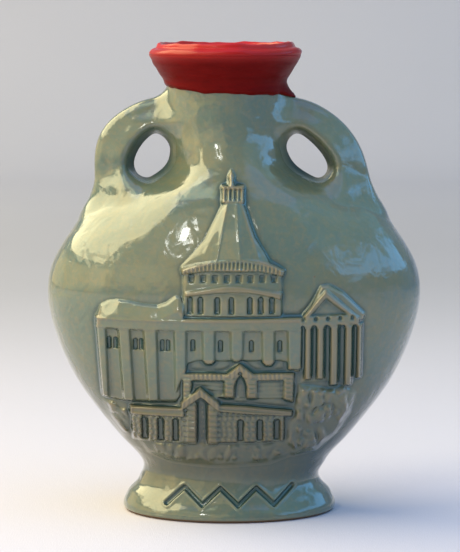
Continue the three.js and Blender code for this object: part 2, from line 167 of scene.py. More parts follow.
class Flask_Sizes(bpy.types.PropertyGroup):
    wall: length("Wall", "Thickness of the pottery", 0.0038)
    fillet: length("Handle fillet", "Radius where a handle runs into the flask", 0.0032)
    scene_step: length("Scene step", "Distance between two points of the moulded scene", 0.0002)
    glaze_melt: length("Glaze melt", "How far the glaze softens the moulded edges", 0.00017)
    pooling: length("Pooling", "How far from a raised member the glaze runs together", 0.0009)


class Flask_Colours(bpy.types.PropertyGroup):
    glaze: colour("Glaze", "Even glaze", (0.43, 0.446, 0.354))
    glaze_cool: colour("Cool glaze", "Patches where the glaze turns bluer", (0.357, 0.43, 0.388))
    pool: colour("Pooled glaze", "Thick glaze in the hollows", (0.19, 0.30, 0.29))
    edge: colour("Thin glaze", "Thin glaze on raised edges", (0.515, 0.465, 0.35))
    clay: colour("Bare clay", "Unglazed clay under the foot", (0.44, 0.34, 0.25))
    wax: colour("Wax", "Sealing wax", (0.43, 0.045, 0.038))
    cork: colour("Cork", "Cork", (0.69, 0.53, 0.35))
    paper: colour("Floor", "Pale floor", (0.868, 0.845, 0.90))
    # The backdrop and wall tones are painted shade and painted light on the sweep: darker beyond
    # the flask, lighter at the top
    backdrop: colour("Backdrop", "Pale wall behind the flask", (0.692, 0.682, 0.722))
    wall: colour("Wall", "Top of the backdrop", (0.785, 0.775, 0.82))


# Curves

def smooth_through(points, samples):
    """Points along one natural cubic curve through the given ones."""
    given = np.array(points, float)
    steps = np.sqrt(np.linalg.norm(np.diff(given, axis=0), axis=1))
    knots = np.concatenate([[0], np.cumsum(steps)])
    matrix, right = np.eye(len(given)), np.zeros_like(given)
    for i in range(1, len(given) - 1):
        before, after = steps[i - 1], steps[i]
        matrix[i, i - 1:i + 2] = before, 2 * (before + after), after
        right[i] = 6 * ((given[i + 1] - given[i]) / after - (given[i] - given[i - 1]) / before)
    bend = np.linalg.solve(matrix, right)
    at = np.linspace(0, knots[-1], samples)
    k = np.clip(np.searchsorted(knots, at, side="right") - 1, 0, len(steps) - 1)
    past, left = (at - knots[k])[:, None], (knots[k + 1] - at)[:, None]
    span = steps[k][:, None]
    curved = (bend[k] * left ** 3 + bend[k + 1] * past ** 3) / (6 * span)
    straight = (given[k] / span - bend[k] * span / 6) * left
    return curved + straight + (given[k + 1] / span - bend[k + 1] * span / 6) * past


def between(low, high, share):
    return low + (high - low) * share


def smoothstep(value, low, high):
    share = np.clip((value - low) / (high - low), 0, 1)
    return share * share * (3 - 2 * share)


def flask_outline():
    """The whole outline from under the foot to the lip: height, half width and half depth."""
    points = []
    for heights, widths, depths, shares in OUTLINE_PARTS:
        points += [(between(*heights, up), between(*widths, wide), between(*depths, deep))
                   for up, wide, deep in shares]
    return smooth_through(points, PROFILE_SAMPLES)


OUTLINE = flask_outline()


def half_width(z):
    return np.interp(z, OUTLINE[:, 0], OUTLINE[:, 1])


def half_depth(z):
    return np.interp(z, OUTLINE[:, 0], OUTLINE[:, 2])


def pinched(share, z):
    """How much of its depth the shoulder keeps under a handle's hole, by the share of the way out
    to the side and by height."""
    zone = smoothstep(z, *PINCH_RISE) * (1 - smoothstep(z, *PINCH_FALL))
    return 1 - PINCH * zone * smoothstep(share, *PINCH_SPAN)


def lean(z):
    foot = FOOT_LEAN * (1 - smoothstep(z, *FOOT_LEAN_SPAN))
    return foot + NECK_LEAN * smoothstep(z, *NECK_LEAN_SPAN)


def skin_level(points):
    """Above zero outside the flask's outer skin, below zero inside it."""
    z = points[..., 2]
    across, deep = (points[..., 0] - lean(z)) / half_width(z), (points[..., 1] - AXIS_Y)
    deep = deep / (half_depth(z) * pinched(np.minimum(np.abs(across), 1), z))
    return np.sqrt(across ** 2 + deep ** 2) - 1


def skin_slope(points, reach=0.15):
    steps = []
    for axis in range(3):
        step = np.zeros(3)
        step[axis] = reach
        steps.append((skin_level(points + step) - skin_level(points - step)) / (2 * reach))
    return np.stack(steps, axis=-1)


def skin_distance(points):
    slope = skin_slope(points)
    return skin_level(points) / np.linalg.norm(slope, axis=-1)


def skin_normal(points):
    slope = skin_slope(points)
    return slope / np.linalg.norm(slope, axis=-1, keepdims=True)


# Meshes

def write_points(mesh, points):
    mesh.vertices.foreach_set("co", (np.asarray(points) * MM).astype(np.float32).ravel())
    mesh.update()


def read_points(mesh):
    points = np.empty(len(mesh.vertices) * 3, np.float32)
    mesh.vertices.foreach_get("co", points)
    return points.reshape(-1, 3).astype(float) / MM


def new_object(name, data):
    thing = bpy.data.objects.new(name, data)
    bpy.context.scene.collection.objects.link(thing)
    return thing


def new_piece(name, points, faces):
    """A piece from points in millimetres and the faces between them."""
    mesh = bpy.data.meshes.new(name)
    mesh.from_pydata((np.asarray(points) * MM).tolist(), [], faces)
    return new_object(name, mesh)


def point_out(piece):
    """Faces out and smooth."""
    bpy.ops.object.select_all(action="DESELECT")
    piece.select_set(True)
    bpy.context.view_layer.objects.active = piece
    bpy.ops.object.mode_set(mode="EDIT")
    bpy.ops.mesh.select_all(action="SELECT")
    bpy.ops.mesh.normals_make_consistent(inside=False)
    bpy.ops.object.mode_set(mode="OBJECT")
    bpy.ops.object.shade_smooth()


def set_normals(piece, normals):
    """Own normals where a row isn't zero, so that luted pieces meet without a line."""
    piece.data.normals_split_custom_set_from_vertices(normals.tolist())


def set_mark(piece, name, values):
    """A number at each point for the glaze: pool is its thickness, above zero in hollows and below
    zero on edges, with painted shade added by the handle holes and round the waist, and matt is
    how dull it lies, from 0 to 1."""
    mark = piece.data.attributes.new(name, "FLOAT", "POINT")
    mark.data.foreach_set("value", np.asarray(values, np.float32))


def grid_faces(rows, columns, closed=False):
    """Faces between rows of points that go round. Closed joins the last row to the first."""
    faces = []
    for k in range(rows if closed else rows - 1):
        here, above = k * columns, (k + 1) % rows * columns
        for i in range(columns):
            after = (i + 1) % columns
            faces.append((here + i, here + after, above + after, above + i))
    return faces


def closed_tube(name, rows, low, high):
    """A skin over rows of points, each end closed by a fan to one point."""
    sides = rows.shape[1]
    points = np.concatenate([rows.reshape(-1, 3), [low, high]])
    faces = grid_faces(len(rows), sides)
    count, last = len(points), (len(rows) - 1) * sides
    for i in range(sides):
        after = (i + 1) % sides
        faces += [(count - 2, after, i), (count - 1, last + i, last + after)]
    piece = new_piece(name, points, faces)
    point_out(piece)
    return piece, points


def vertex_normals(piece):
    normals = np.empty(len(piece.data.vertices) * 3, np.float32)
    piece.data.vertices.foreach_get("normal", normals)
    return normals.reshape(-1, 3).astype(float)


def turned_loft(name, rings, sides, ends):
    """A skin through oval rings of height, half width, half depth and shift aside: one circle,
    drawn up and resized ring by ring. Its ends are joined to each other, or each is filled."""
    bpy.ops.object.select_all(action="DESELECT")
    z, wide, deep, aside = rings[0]
    bpy.ops.mesh.primitive_circle_add(vertices=sides, radius=1)
    piece = bpy.context.object
    piece.name = piece.data.name = name
    bpy.ops.object.mode_set(mode="EDIT")
    bpy.ops.mesh.select_mode(type="VERT")
    bpy.ops.mesh.select_all(action="SELECT")
    bpy.ops.transform.resize(value=(wide * MM, deep * MM, 1), center_override=(0, 0, 0))
    bpy.ops.transform.translate(value=(aside * MM, AXIS_Y * MM, z * MM))
    for ring in rings[1:]:
        rise, shift = ring[0] - z, ring[3] - aside
        bpy.ops.mesh.extrude_edges_move(
            TRANSFORM_OT_translate={"value": (shift * MM, 0, rise * MM)})
        bpy.ops.transform.resize(
            value=(ring[1] / wide, ring[2] / deep, 1),
            center_override=(ring[3] * MM, AXIS_Y * MM, ring[0] * MM))
        z, wide, deep, aside = ring
    bpy.ops.mesh.select_all(action="DESELECT")
    bpy.ops.mesh.select_non_manifold()
    if ends == "joined":
        bpy.ops.mesh.bridge_edge_loops()
    else:
        bpy.ops.mesh.fill_holes(sides=0)
    bpy.ops.object.mode_set(mode="OBJECT")
    point_out(piece)
    return piece


def ring_heights(low, high, step):
    """Heights along the outline, a step apart on the curve itself."""
    span = OUTLINE[(OUTLINE[:, 0] >= low) & (OUTLINE[:, 0] <= high)]
    along = np.concatenate([[0], np.cumsum(np.linalg.norm(np.diff(span[:, :2], axis=0), axis=1))])
    count = int(math.ceil(along[-1] / step)) + 1
    heights = np.interp(np.linspace(0, along[-1], count), along, span[:, 0])
    heights[0], heights[-1] = low, high
    return heights


def skin_ring(z, inset=0.0):
    return (float(z), float(half_width(z)) - inset, float(half_depth(z)) - inset, float(lean(z)))


# Shaders

def linear(colour, share=1):
    """A share of an sRGB colour, as the shader wants it."""
    steps = [c * share for c in colour]
    return [c / 12.92 if c <= 0.04045 else ((c + 0.055) / 1.055) ** 2.4 for c in steps] + [1.0]


class Wire:
    """A socket that Python's operators work on: each adds the Math node for it."""

    def __init__(self, shader, socket):
        self.shader, self.socket = shader, socket

    def maths(self, operation, first, second, clamp=False):
        return self.shader.node(
            "ShaderNodeMath", {"operation": operation, "use_clamp": clamp}, {0: first, 1: second})

    def __add__(self, other):
        return self.maths("ADD", self, other)

    def __sub__(self, other):
        return self.maths("SUBTRACT", self, other)

    def __rsub__(self, other):
        return self.maths("SUBTRACT", other, self)

    def __mul__(self, other):
        return self.maths("MULTIPLY", self, other)

    __radd__, __rmul__ = __add__, __mul__

    def held(self):
        """Kept from 0 to 1."""
        return self.maths("ADD", self, 0.0, clamp=True)

    def above(self, low, high):
        """0 up to low, 1 from high on, and a smooth rise between them."""
        return self.shader.node(
            "ShaderNodeMapRange", {"interpolation_type": "SMOOTHSTEP"},
            {0: self, 1: low, 2: high, 3: 0.0, 4: 1.0})


class Finish:
    """A procedural material of one Principled BSDF."""

    def __init__(self, name):
        self.material = bpy.data.materials.new(name)
        self.material.use_nodes = True
        self.material.node_tree.nodes.clear()
        self.place = self.node("ShaderNodeTexCoord", output="Object")

    def node(self, kind, settings=None, inputs=None, output=0):
        """A node of a type: its settings first, then the values or links of its sockets."""
        tree = self.material.node_tree
        made = tree.nodes.new(kind)
        for name, value in (settings or {}).items():
            setattr(made, name, value)
        for name, value in (inputs or {}).items():
            if isinstance(value, Wire):
                tree.links.new(value.socket, made.inputs[name])
            else:
                made.inputs[name].default_value = value
        return Wire(self, made.outputs[output]) if made.outputs else None

    def mark(self, name):
        return self.node("ShaderNodeAttribute", {"attribute_name": name}, output="Fac")

    def along(self, axis):
        """The place along one axis: 0 across, 1 back and 2 up."""
        return self.node("ShaderNodeSeparateXYZ", {}, {0: self.place}, axis)

    def noise(self, wavelength, detail=2.0, roughness=0.5, distortion=0.0, stretch=None):
        place = self.place
        if stretch:
            place = self.node("ShaderNodeMapping", {}, {"Vector": place, "Scale": stretch})
        return self.node("ShaderNodeTexNoise", {}, {
            "Vector": place, "Scale": 1 / (wavelength * MM), "Detail": detail,
            "Roughness": roughness, "Distortion": distortion})

    def cells(self, wavelength, output="Distance"):
        return self.node("ShaderNodeTexVoronoi", {}, {
            "Vector": self.place, "Scale": 1 / (wavelength * MM)}, output)

    def blend(self, share, first, second):
        """Colours mixed by a share."""
        return self.node("ShaderNodeMix", {"data_type": "RGBA"}, {0: share, 6: first, 7: second}, 2)

    def bumps(self, *layers):
        """Bumps laid over one another: each its height and how far it stands out."""
        inputs = {}
        for height, distance in layers:
            inputs.update({"Height": height, "Distance": distance * MM})
            inputs["Normal"] = self.node("ShaderNodeBump", {}, inputs)
        return inputs["Normal"]

    def surface(self, **inputs):
        named = {name.replace("_", " "): value for name, value in inputs.items()}
        shader = self.node("ShaderNodeBsdfPrincipled", {}, named)
        self.node("ShaderNodeOutputMaterial", {}, {"Surface": shader})
        return self.material


# Glaze: painted shade darkens it over heights above the foot, and one pinhole cell in five is open
LOW_SHADE_RISE, LOW_SHADE_FALL = (6 * MM, 13 * MM), (18 * MM, 46 * MM)
LOW_SHADE_SHARE = 0.35
PINHOLE_PITCH, PINHOLE_EDGE, PINHOLE_CHOICE = 5.2, (0.03, 0.06), (0.8, 0.82)
# Wax: the heights over which it turns from the satin coat to the roll and top, painted brighter
# as painted light from above
WAX_LIT_SPAN = ((LIP_HEIGHT - 2.5) * MM, (LIP_HEIGHT + 2.8) * MM)
# How dark the other tone of clay, wax and cork is
CLAY_DARK, WAX_DARK, CORK_DARK = 0.55, 0.62, 0.45


def glaze_finish(colours):
    """Celadon over pottery: it pools bluish in hollows, runs thin and warm on edges, and lies in
    slow waves with small pinholes. Painted shade darkens it low on the body, and more painted
    shade comes in with the pool mark by the handle holes and round the waist."""
    glaze = Finish("flask_glaze")
    pool_and_shade_mark, matt = glaze.mark("pool"), glaze.mark("matt")
    slow = glaze.noise(22, 2.0)
    feather = glaze.noise(6.5, 4.0, 0.62, 1.4)
    fine = glaze.noise(1.3, 3.0, 0.6)
    cool = (slow * 0.7 + feather * 0.9 - 0.3).above(0.32, 0.72)
    thin = (fine.above(0.42, 0.75) * 0.35 + feather.above(0.5, 0.7) * 0.2).held()
    # The pool mark holds pooled glaze, and painted shade by the handle holes and round the waist
    pooled_and_shaded = (pool_and_shade_mark * (0.75 + feather * 0.5)).above(0.05, 0.85)
    raised = (pool_and_shade_mark * -1.0 + (fine - 0.5) * 0.25).above(0.12, 0.75)
    chosen = glaze.node(
        "ShaderNodeSeparateColor", {}, {0: glaze.cells(PINHOLE_PITCH, "Color")})
    pin = (1 - glaze.cells(PINHOLE_PITCH).above(*PINHOLE_EDGE)) * chosen.above(*PINHOLE_CHOICE)
    # Painted shade: a band above the foot, mixed toward a darker copy of the glaze
    height = glaze.along(2)
    low = height.above(*LOW_SHADE_RISE) * (1 - height.above(*LOW_SHADE_FALL))
    tone = glaze.blend(cool, linear(colours.glaze), linear(colours.glaze_cool))
    for share, other in (
            (thin, linear(colours.edge)), (pooled_and_shaded, linear(colours.pool)),
            (raised * 0.8, linear(colours.edge)), (pin * 0.7, linear(colours.clay)),
            (low * 0.5, linear(colours.glaze, LOW_SHADE_SHARE))):
        tone = glaze.blend(share, tone, other)
    waves = glaze.noise(5.5, 1.5, 0.45, 0.9)
    dimple = (1 - glaze.cells(5.6).above(0.05, 0.26)) * waves
    normal = glaze.bumps(
        (waves, 0.42), (dimple * -1.0, 0.09), (pooled_and_shaded * -1.0, 0.26),
        (glaze.noise(1.8, 2.0, 0.5), 0.04), (pin * -1.0, 0.08))
    return glaze.surface(
        Base_Color=tone, Roughness=0.07 + feather * 0.12 + matt * 0.6, Normal=normal,
        Coat_Weight=0.85 - matt * 0.85, Coat_Roughness=0.03, Specular_IOR_Level=0.5)


def clay_finish(colours):
    clay = Finish("flask_clay")
    grain = clay.noise(0.8, 4.0, 0.65)
    share = (grain * 0.6 + clay.noise(6, 2.0) * 0.5 - 0.25).held()
    tone = clay.blend(share, linear(colours.clay), linear(colours.clay, CLAY_DARK))
    return clay.surface(Base_Color=tone, Roughness=0.85, Normal=clay.bumps((grain, 0.08)))


def wax_finish(colours):
    """Sealing wax: satin, with brush marks round the mouth, and painted light on its roll and top.
    """
    wax = Finish("flask_wax")
    drag = wax.noise(5, 3.0, 0.6, 0.3, stretch=(0.35, 0.35, 2.2))
    cloud = wax.noise(4, 2.0)
    share = (drag * 0.7 + cloud * 0.5 - 0.3).held()
    tone = wax.blend(share, linear(colours.wax), linear(colours.wax, WAX_DARK))
    # Painted light: the roll and top are painted brighter, as if lit from above
    roll = wax.along(2).above(*WAX_LIT_SPAN)
    lit_wax = [min(1.6 * c + 0.04, 1) for c in colours.wax]
    return wax.surface(
        Base_Color=wax.blend(roll, tone, linear(lit_wax)), Roughness=0.3 + cloud * 0.15,
        Normal=wax.bumps((drag, 0.14), (wax.noise(1.2, 2.0), 0.03)), Specular_IOR_Level=0.05,
        Coat_Weight=roll * 0.6, Coat_Roughness=0.18)


def cork_finish(colours):
    cork = Finish("flask_cork")
    grain = cork.noise(1.6, 4.0, 0.7, 0.5, stretch=(1, 1, 0.45))
    pitted = (1 - cork.cells(2.2).above(0.08, 0.3)) * grain.above(0.4, 0.7)
    tone = cork.blend(
        (grain * 0.5 + pitted).held(), linear(colours.cork), linear(colours.cork, CORK_DARK))
    return cork.surface(
        Base_Color=tone, Roughness=0.9, Normal=cork.bumps((grain - pitted * 2.0, 0.2)))


@functools.cache
def finish_for(recipe):
    """The material of a recipe, made once."""
    return recipe(bpy.context.scene.flask_colours)


def dress(piece, body, finishes, nodes):
    for recipe in finishes:
        piece.data.materials.append(finish_for(recipe))
    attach(piece, body)
    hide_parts(*nodes)


GLAZE = [glaze_finish]
GLAZE_AND_CLAY = [glaze_finish, clay_finish]
WAX = [wax_finish]
CORK = [cork_finish]


# The moulded scene, in millimetres across and up. A box is left, right, low and high, and other
# shapes are lists of corners.

def soft_inside(distance, soft):
    """1 inside an outline, 0 outside it, from its signed distance."""
    return 1 - smoothstep(distance, -soft, soft)


class Relief:
    """A height map of the scene, seen from the front. Members are painted from the back to the
    front, and each belongs to one sprig. A shape is a box, a list of corners, or its distances."""

    left, right, low, high = -37.6, 35.4, 13.0, 92.0

    def __init__(self, step):
        self.step = step
        self.xs = np.arange(self.left, self.right, step)
        self.zs = np.arange(self.low, self.high, step)
        self.x, self.z = np.meshgrid(self.xs, self.zs)
        self.height = np.zeros_like(self.x)
        self.wet = np.ones_like(self.x)
        self.sprigs = {}
        self.sprig = None

    def distance(self, shape):
        """Signed distance to a shape, below zero inside it."""
        if isinstance(shape, np.ndarray):
            return shape
        if isinstance(shape, tuple):
            left, right, low, high = shape
            dx = np.maximum(left - self.x, self.x - right)
            dz = np.maximum(low - self.z, self.z - high)
            outside = np.hypot(np.maximum(dx, 0), np.maximum(dz, 0))
            return outside + np.minimum(np.maximum(dx, dz), 0)
        points = np.array(shape, float)
        nearest = np.full(self.x.shape, np.inf)
        inside = np.zeros(self.x.shape, bool)
        for (x0, z0), (x1, z1) in zip(points, np.roll(points, -1, axis=0)):
            dx, dz = x1 - x0, z1 - z0
            px, pz = self.x - x0, self.z - z0
            share = np.clip((px * dx + pz * dz) / (dx * dx + dz * dz), 0, 1)
            nearest = np.minimum(nearest, np.hypot(px - share * dx, pz - share * dz))
            crossed = (self.z < z0) != (self.z < z1)
            inside ^= crossed & ((px * dz < pz * dx) if dz > 0 else (px * dz > pz * dx))
        return np.where(inside, -nearest, nearest)

    def arched(self, centre, width, low, high):
        """A light with a round head."""
        radius = width / 2
        head = np.hypot(self.x - centre, self.z - (high - radius)) - radius
        shaft = (centre - radius, centre + radius, low, high - radius)
        return np.minimum(head, self.distance(shaft))

    def band(self, tops, bottoms):
        """Between two smooth lines across."""
        lines = smooth_through(tops, 40), smooth_through(bottoms, 40)[::-1]
        return self.distance(np.concatenate(lines).tolist())

    def raised(self, shape, height, soft=0.14, wet=None, claimed=True):
        """A member painted over what lies behind it. Wet is how much glaze gathers on it."""
        distance = self.distance(shape)
        share = soft_inside(distance, soft)
        self.height = self.height * (1 - share) + height * share
        if wet is not None:
            self.wet = between(self.wet, wet, share)
        if claimed:
            self.sprigs[self.sprig] = np.minimum(self.sprigs.get(self.sprig, distance), distance)
        return distance

    def sunk(self, shape, height, soft=0.13, wet=None):
        return self.raised(shape, height, soft, wet, claimed=False)

    def courses(self, shape, rise, length, depth, gap):
        """Joints of stone or brick cut into a member: rows of a rise, and blocks of a length."""
        row = np.floor(self.z / rise)
        bed = np.abs(self.z / rise - row - 0.5) * rise
        joint = soft_inside(rise / 2 - bed - gap, gap * 0.6)
        if length:
            shifted = self.x / length + 0.12 * (row % 3)
            head = np.abs(shifted - np.floor(shifted) - 0.5) * length
            joint = np.maximum(joint, soft_inside(length / 2 - head - gap, gap * 0.6))
        self.height -= depth * joint * soft_inside(self.distance(shape), 0.15)

    def ribs(self, shape, pitch, depth, gap, start=0.0):
        """Upright joints cut across a member, a pitch apart."""
        turn = (self.x - start) / pitch
        away = (0.5 - np.abs(turn - np.floor(turn) - 0.5)) * pitch
        cut = soft_inside(away - gap, gap * 0.7)
        self.height -= depth * cut * soft_inside(self.distance(shape), 0.15)

    def blurred(self, field, spread):
        """The field smoothed over a spread, by one pass along each axis."""
        reach = int(math.ceil(3 * spread / self.step))
        weights = np.exp(-0.5 * (np.arange(-reach, reach + 1) * self.step / spread) ** 2)
        weights /= weights.sum()
        for axis in (0, 1):
            pad = [(reach, reach) if i == axis else (0, 0) for i in range(2)]
            padded = np.pad(field, pad, mode="edge")
            length = field.shape[axis]
            field = sum(w * np.take(padded, range(i, i + length), axis=axis)
                        for i, w in enumerate(weights))
        return field


# Drum: half its width, how much it bulges, and its string course. Dome: its sides by height, its
# ridges as foot, height there, top and height there, and the cornice round its foot
DRUM_REACH, DRUM_BULGE = 12.6, 0.5
STRING_COURSE = (
    [(-12.3, 60.2), (-5.8, 61.4), (-0.7, 62.0), (4.3, 61.4), (11.9, 60.0)],
    [(-12.1, 59.2), (-5.8, 60.1), (-0.7, 60.4), (4.3, 60.2), (11.7, 58.5)])
DOME_LOW, DOME_HIGH = 67.2, 82.0
DOME_LEFT = ([65.5, 66.7, 70.0, 73.1, 82.0], [-13.4, -13.2, -10.0, -7.3, -2.9])
DOME_RIGHT = ([65.5, 67.9, 74.0, 82.0], [9.6, 8.8, 5.2, 2.4])
DOME_RIDGES = [
    (-8.5, 1.35, -2.3, 0.9), (-4.6, 2.2, -1.8, 1.5), (1.6, 2.55, 0.6, 1.75), (6.6, 2.1, 1.9, 1.3)]
CORNICE = (
    [(-13.0, 66.0), (-9.4, 67.1), (-4.5, 68.1), (0.5, 68.5), (6.9, 68.1), (10.7, 66.6),
     (12.5, 65.6)],
    [(-12.9, 64.7), (-5.8, 65.8), (-0.7, 66.1), (4.3, 65.8), (8.2, 65.2), (12.2, 64.2)])


def drum_and_dome(relief):
    relief.sprig = "relief_drum"
    swell = DRUM_BULGE * (1 - (relief.x / DRUM_REACH) ** 2)
    relief.raised((-DRUM_REACH, 11.8, 54.0, 66.0), 0.8 + swell, 0.3)
    for x in np.linspace(-10.6, 9.9, 8):
        relief.sunk((x - 0.7, x + 0.7, 62.7, 64.6), 0.25 + swell)
    relief.raised(relief.band(*STRING_COURSE), 1.55 + swell)
    for x in (-11.0, -8.4, -4.2, -0.7, 3.9, 6.6, 9.4):
        relief.sunk(relief.arched(x, 1.3, 54.9, 59.1), 0.15 + 0.5 * swell)

    relief.sprig = "relief_dome"
    share = np.clip((relief.z - DOME_LOW) / (DOME_HIGH - DOME_LOW), 0, 1)
    left, right = np.interp(relief.z, *DOME_LEFT), np.interp(relief.z, *DOME_RIGHT)
    lines = [left] + [between(foot, top, share) for foot, _, top, _ in DOME_RIDGES] + [right]
    heights = [np.full_like(share, 0.25)]
    heights += [between(low, high, share) for _, low, _, high in DOME_RIDGES]
    heights += [between(1.1, 0.7, share)]
    facets = np.zeros_like(share)
    for near, far, low, high in zip(lines, lines[1:], heights, heights[1:]):
        at = np.clip((relief.x - near) / (far - near), 0, 1)
        facets = np.where(relief.x >= near, between(low, high, at), facets)
    cone = np.maximum.reduce([left - relief.x, relief.x - right, 65.6 - relief.z, relief.z - 82.2])
    relief.raised(cone, facets, 0.25)
    for line in lines[2:5]:
        ridge = np.exp(-((relief.x - line) / 0.32) ** 2)
        relief.height += 0.14 * ridge * soft_inside(cone, 0.3)
    cornice = relief.raised(relief.band(*CORNICE), 2.05 + swell, 0.2)
    teeth = np.maximum(cornice, relief.z - 68.0 + 0.017 * (relief.x - 0.3) ** 2)
    relief.ribs(teeth, 1.0, 0.75, 0.2)


FINIAL = [(-1.35, 86.1), (0.05, 86.1), (-0.2, 87.4), (0.0, 88.6), (-0.65, 90.0), (-1.35, 88.6),
          (-1.15, 87.4)]


def lantern_and_finial(relief):
    relief.sprig = "relief_lantern"
    relief.raised((-2.9, 2.4, 82.2, 86.2), 0.95)
    for x in (-2.5, -1.35, -0.2, 0.95, 2.05):
        relief.raised((x - 0.26, x + 0.26, 82.6, 85.9), 1.75, 0.18)
    relief.raised((-3.1, 2.5, 85.6, 86.25), 1.95, 0.18)
    relief.raised((-3.0, 2.5, 82.15, 82.8), 1.85, 0.18)
    relief.raised(FINIAL, 1.7 - 0.12 * (relief.z - 86), 0.3)


# Long wall: its field, the lean-to roof before it, its single and paired lights, its pilasters, and
# the lintel with its upper edge. Side roof: its outline and its crest by place
WALL_FIELD = [(-34.6, 51.5), (-33.4, 31.9), (-28, 31.4), (-14.5, 32.2), (-13.5, 33.5),
              (-13.5, 39.8), (16.3, 39.8), (16.4, 51.5)]
LEAN_TO = [(-13.6, 39.2), (-11.4, 42.2), (-9.5, 43.0), (11.8, 43.0), (13.2, 42.4), (15.6, 39.2)]
WALL_LIGHTS = [
    (-31.5, 45.3), (-29.9, 45.3), (-24.75, 45.3), (-23.4, 45.3), (-17.95, 45.2), (-16.6, 45.2),
    (-10.3, 45.4), (-3.4, 45.3), (4.3, 45.2), (11.4, 45.1)]
PILASTERS = [
    [(-34.7, 51), (-32.3, 51), (-31.9, 32), (-33.6, 32.2)],
    [(-29.1, 51), (-26.2, 51), (-25.3, 31.7), (-28.0, 31.7)],
    [(-22.7, 51), (-19.4, 51), (-19.0, 32.2), (-21.7, 31.9)],
    [(-15.0, 51), (-11.9, 51), (-12.0, 40.2), (-14.7, 34.5)],
    [(-7.9, 51), (-4.8, 51), (-4.9, 42.9), (-5.6, 42.1), (-6.9, 42.1), (-7.8, 43.0)],
    [(-0.9, 51), (2.3, 51), (2.2, 43.9), (1.4, 42.9), (0.0, 42.8), (-0.8, 43.7)],
    [(6.9, 51), (10.1, 51), (10.0, 42.6), (9.3, 41.7), (7.9, 41.7), (7.1, 42.6)],
    [(13.3, 51), (17.0, 51), (16.8, 40.6), (13.6, 40.5)],
]
LINTEL = [(-34.8, 50.6), (16.9, 50.8), (16.9, 53.7), (-34.7, 53.5)]
LINTEL_EDGE = [(-34.9, 52.8), (16.9, 52.9), (16.9, 53.8), (-34.8, 53.6)]
SIDE_ROOF = [
    (-34.3, 54.4), (-33.6, 56.2), (-31.6, 57.3), (-29.2, 57.7), (-26.7, 57.5), (-22.8, 56.8),
    (-19.3, 56.6), (-16.9, 57.4), (-14.6, 59.1), (-13.3, 58.9), (-12.5, 57.2), (-12.5, 53.2),
    (-34.5, 53.2)]
ROOF_CREST = ([-34, -29, -19, -14, -12], [56.5, 57.7, 56.7, 59.1, 58.0])


def long_wall(relief):
    relief.sprig = "relief_nave"
    relief.raised(WALL_FIELD, 0.55, 0.35, wet=0.3)
    relief.sunk(LEAN_TO, 0.12, 0.35, wet=1.6)
    for x, low in WALL_LIGHTS:
        relief.sunk(relief.arched(x, 1.05, low, low + 2.9), -0.15, 0.18, wet=1.5)
    for pilaster in PILASTERS:
        relief.raised(pilaster, 1.75, 0.34)
    relief.raised(LINTEL, 1.95, 0.2)
    relief.raised(LINTEL_EDGE, 2.35, 0.18)
    relief.raised((-34.8, 16.9, 50.6, 51.1), 2.05, 0.16)
    relief.sprig = "relief_roof"
    crest = np.interp(relief.x, *ROOF_CREST)
    relief.raised(SIDE_ROOF, 0.55 + 0.42 * np.clip(crest - relief.z, 0, 3.4), 0.32)


# Porch: the roof behind its gable, its columns by place, width and foot, and the gable
PORCH_ROOF = [(17.5, 53.2), (21.8, 61.5), (23.6, 61.6), (27.2, 59.6), (32.9, 54.0), (32.4, 52.6),
              (30.6, 52.8)]
PORCH_COLUMNS = [
    (18.45, 1.55, 37.8), (21.6, 1.7, 37.8), (25.1, 1.9, 35.9), (28.8, 1.8, 35.6), (31.6, 1.1, 37.3)]
PORCH_GABLE = [(16.4, 53.2), (22.9, 60.6), (31.3, 53.2)]
PORCH_GABLE_FIELD = [(18.9, 54.2), (22.9, 58.7), (28.6, 54.2)]


def porch(relief):
    relief.sprig = "relief_portico"
    relief.raised(PORCH_ROOF, 1.1, 0.3)
    relief.raised((17.0, 31.9, 37.0, 52.6), 0.3, 0.3)
    for x, width, low in PORCH_COLUMNS:
        half = width / 2
        across = np.clip(1 - ((relief.x - x) / (0.62 * width)) ** 2, 0, 1)
        relief.raised((x - half, x + half, low, 51.6), 1.15 + 0.75 * np.sqrt(across), 0.2)
        relief.raised((x - half - 0.2, x + half + 0.2, 51.0, 51.7), 1.9, 0.15)
    relief.raised(PORCH_GABLE, 2.1, 0.2)
    relief.sunk(PORCH_GABLE_FIELD, 1.15, 0.25)
    relief.raised((16.6, 31.4, 51.5, 53.4), 2.05, 0.18)
    relief.ribs((16.8, 31.2, 52.9, 54.0), 3.1, 0.9, 0.42, start=20.4)
    relief.ribs((16.8, 31.2, 51.2, 51.9), 3.1, 0.6, 0.42, start=20.0)


# Gatehouses: the upper one's gable and door, and the lower one's yard, walls, roofs, lights and
# door
UPPER_GABLE = [(-2.4, 39.2), (1.5, 42.2), (5.5, 39.1), (3.7, 38.0), (1.5, 40.2), (-0.6, 38.1)]
UPPER_DOOR = [(0.05, 31.6), (3.15, 31.6), (3.15, 36.4), (2.6, 38.0), (1.6, 39.3), (0.6, 38.0),
              (0.05, 36.4)]
YARD = [(-4, 30.5), (-4, 33.4), (5, 33.2), (12, 33.0), (15.2, 31.8), (15.2, 29.6)]
LOWER_WALLS = [
    [(-26.0, 20.6), (-12.0, 20.6), (-12.0, 29.6), (-26.3, 29.8)],
    [(-4.4, 21.2), (12.6, 21.4), (12.6, 29.2), (-4.4, 30.4)],
]
LOWER_ROOFS = [
    [(-26.5, 28.0), (-12.6, 28.1), (-12.6, 30.5), (-26.4, 30.3)],
    [(-4.4, 29.8), (2.0, 29.2), (14.6, 28.2), (14.6, 29.7), (3.0, 31.1), (-4.4, 31.5)],
]
LOWER_LIGHTS = [
    (-22.7, 21.0), (-18.6, 21.0), (-14.8, 21.2), (1.6, 21.5), (6.5, 21.6), (10.8, 21.7)]
LOWER_DOOR = [(-9.4, 20.3), (-6.7, 20.3), (-6.7, 32.6), (-8.1, 33.6), (-9.4, 32.6)]


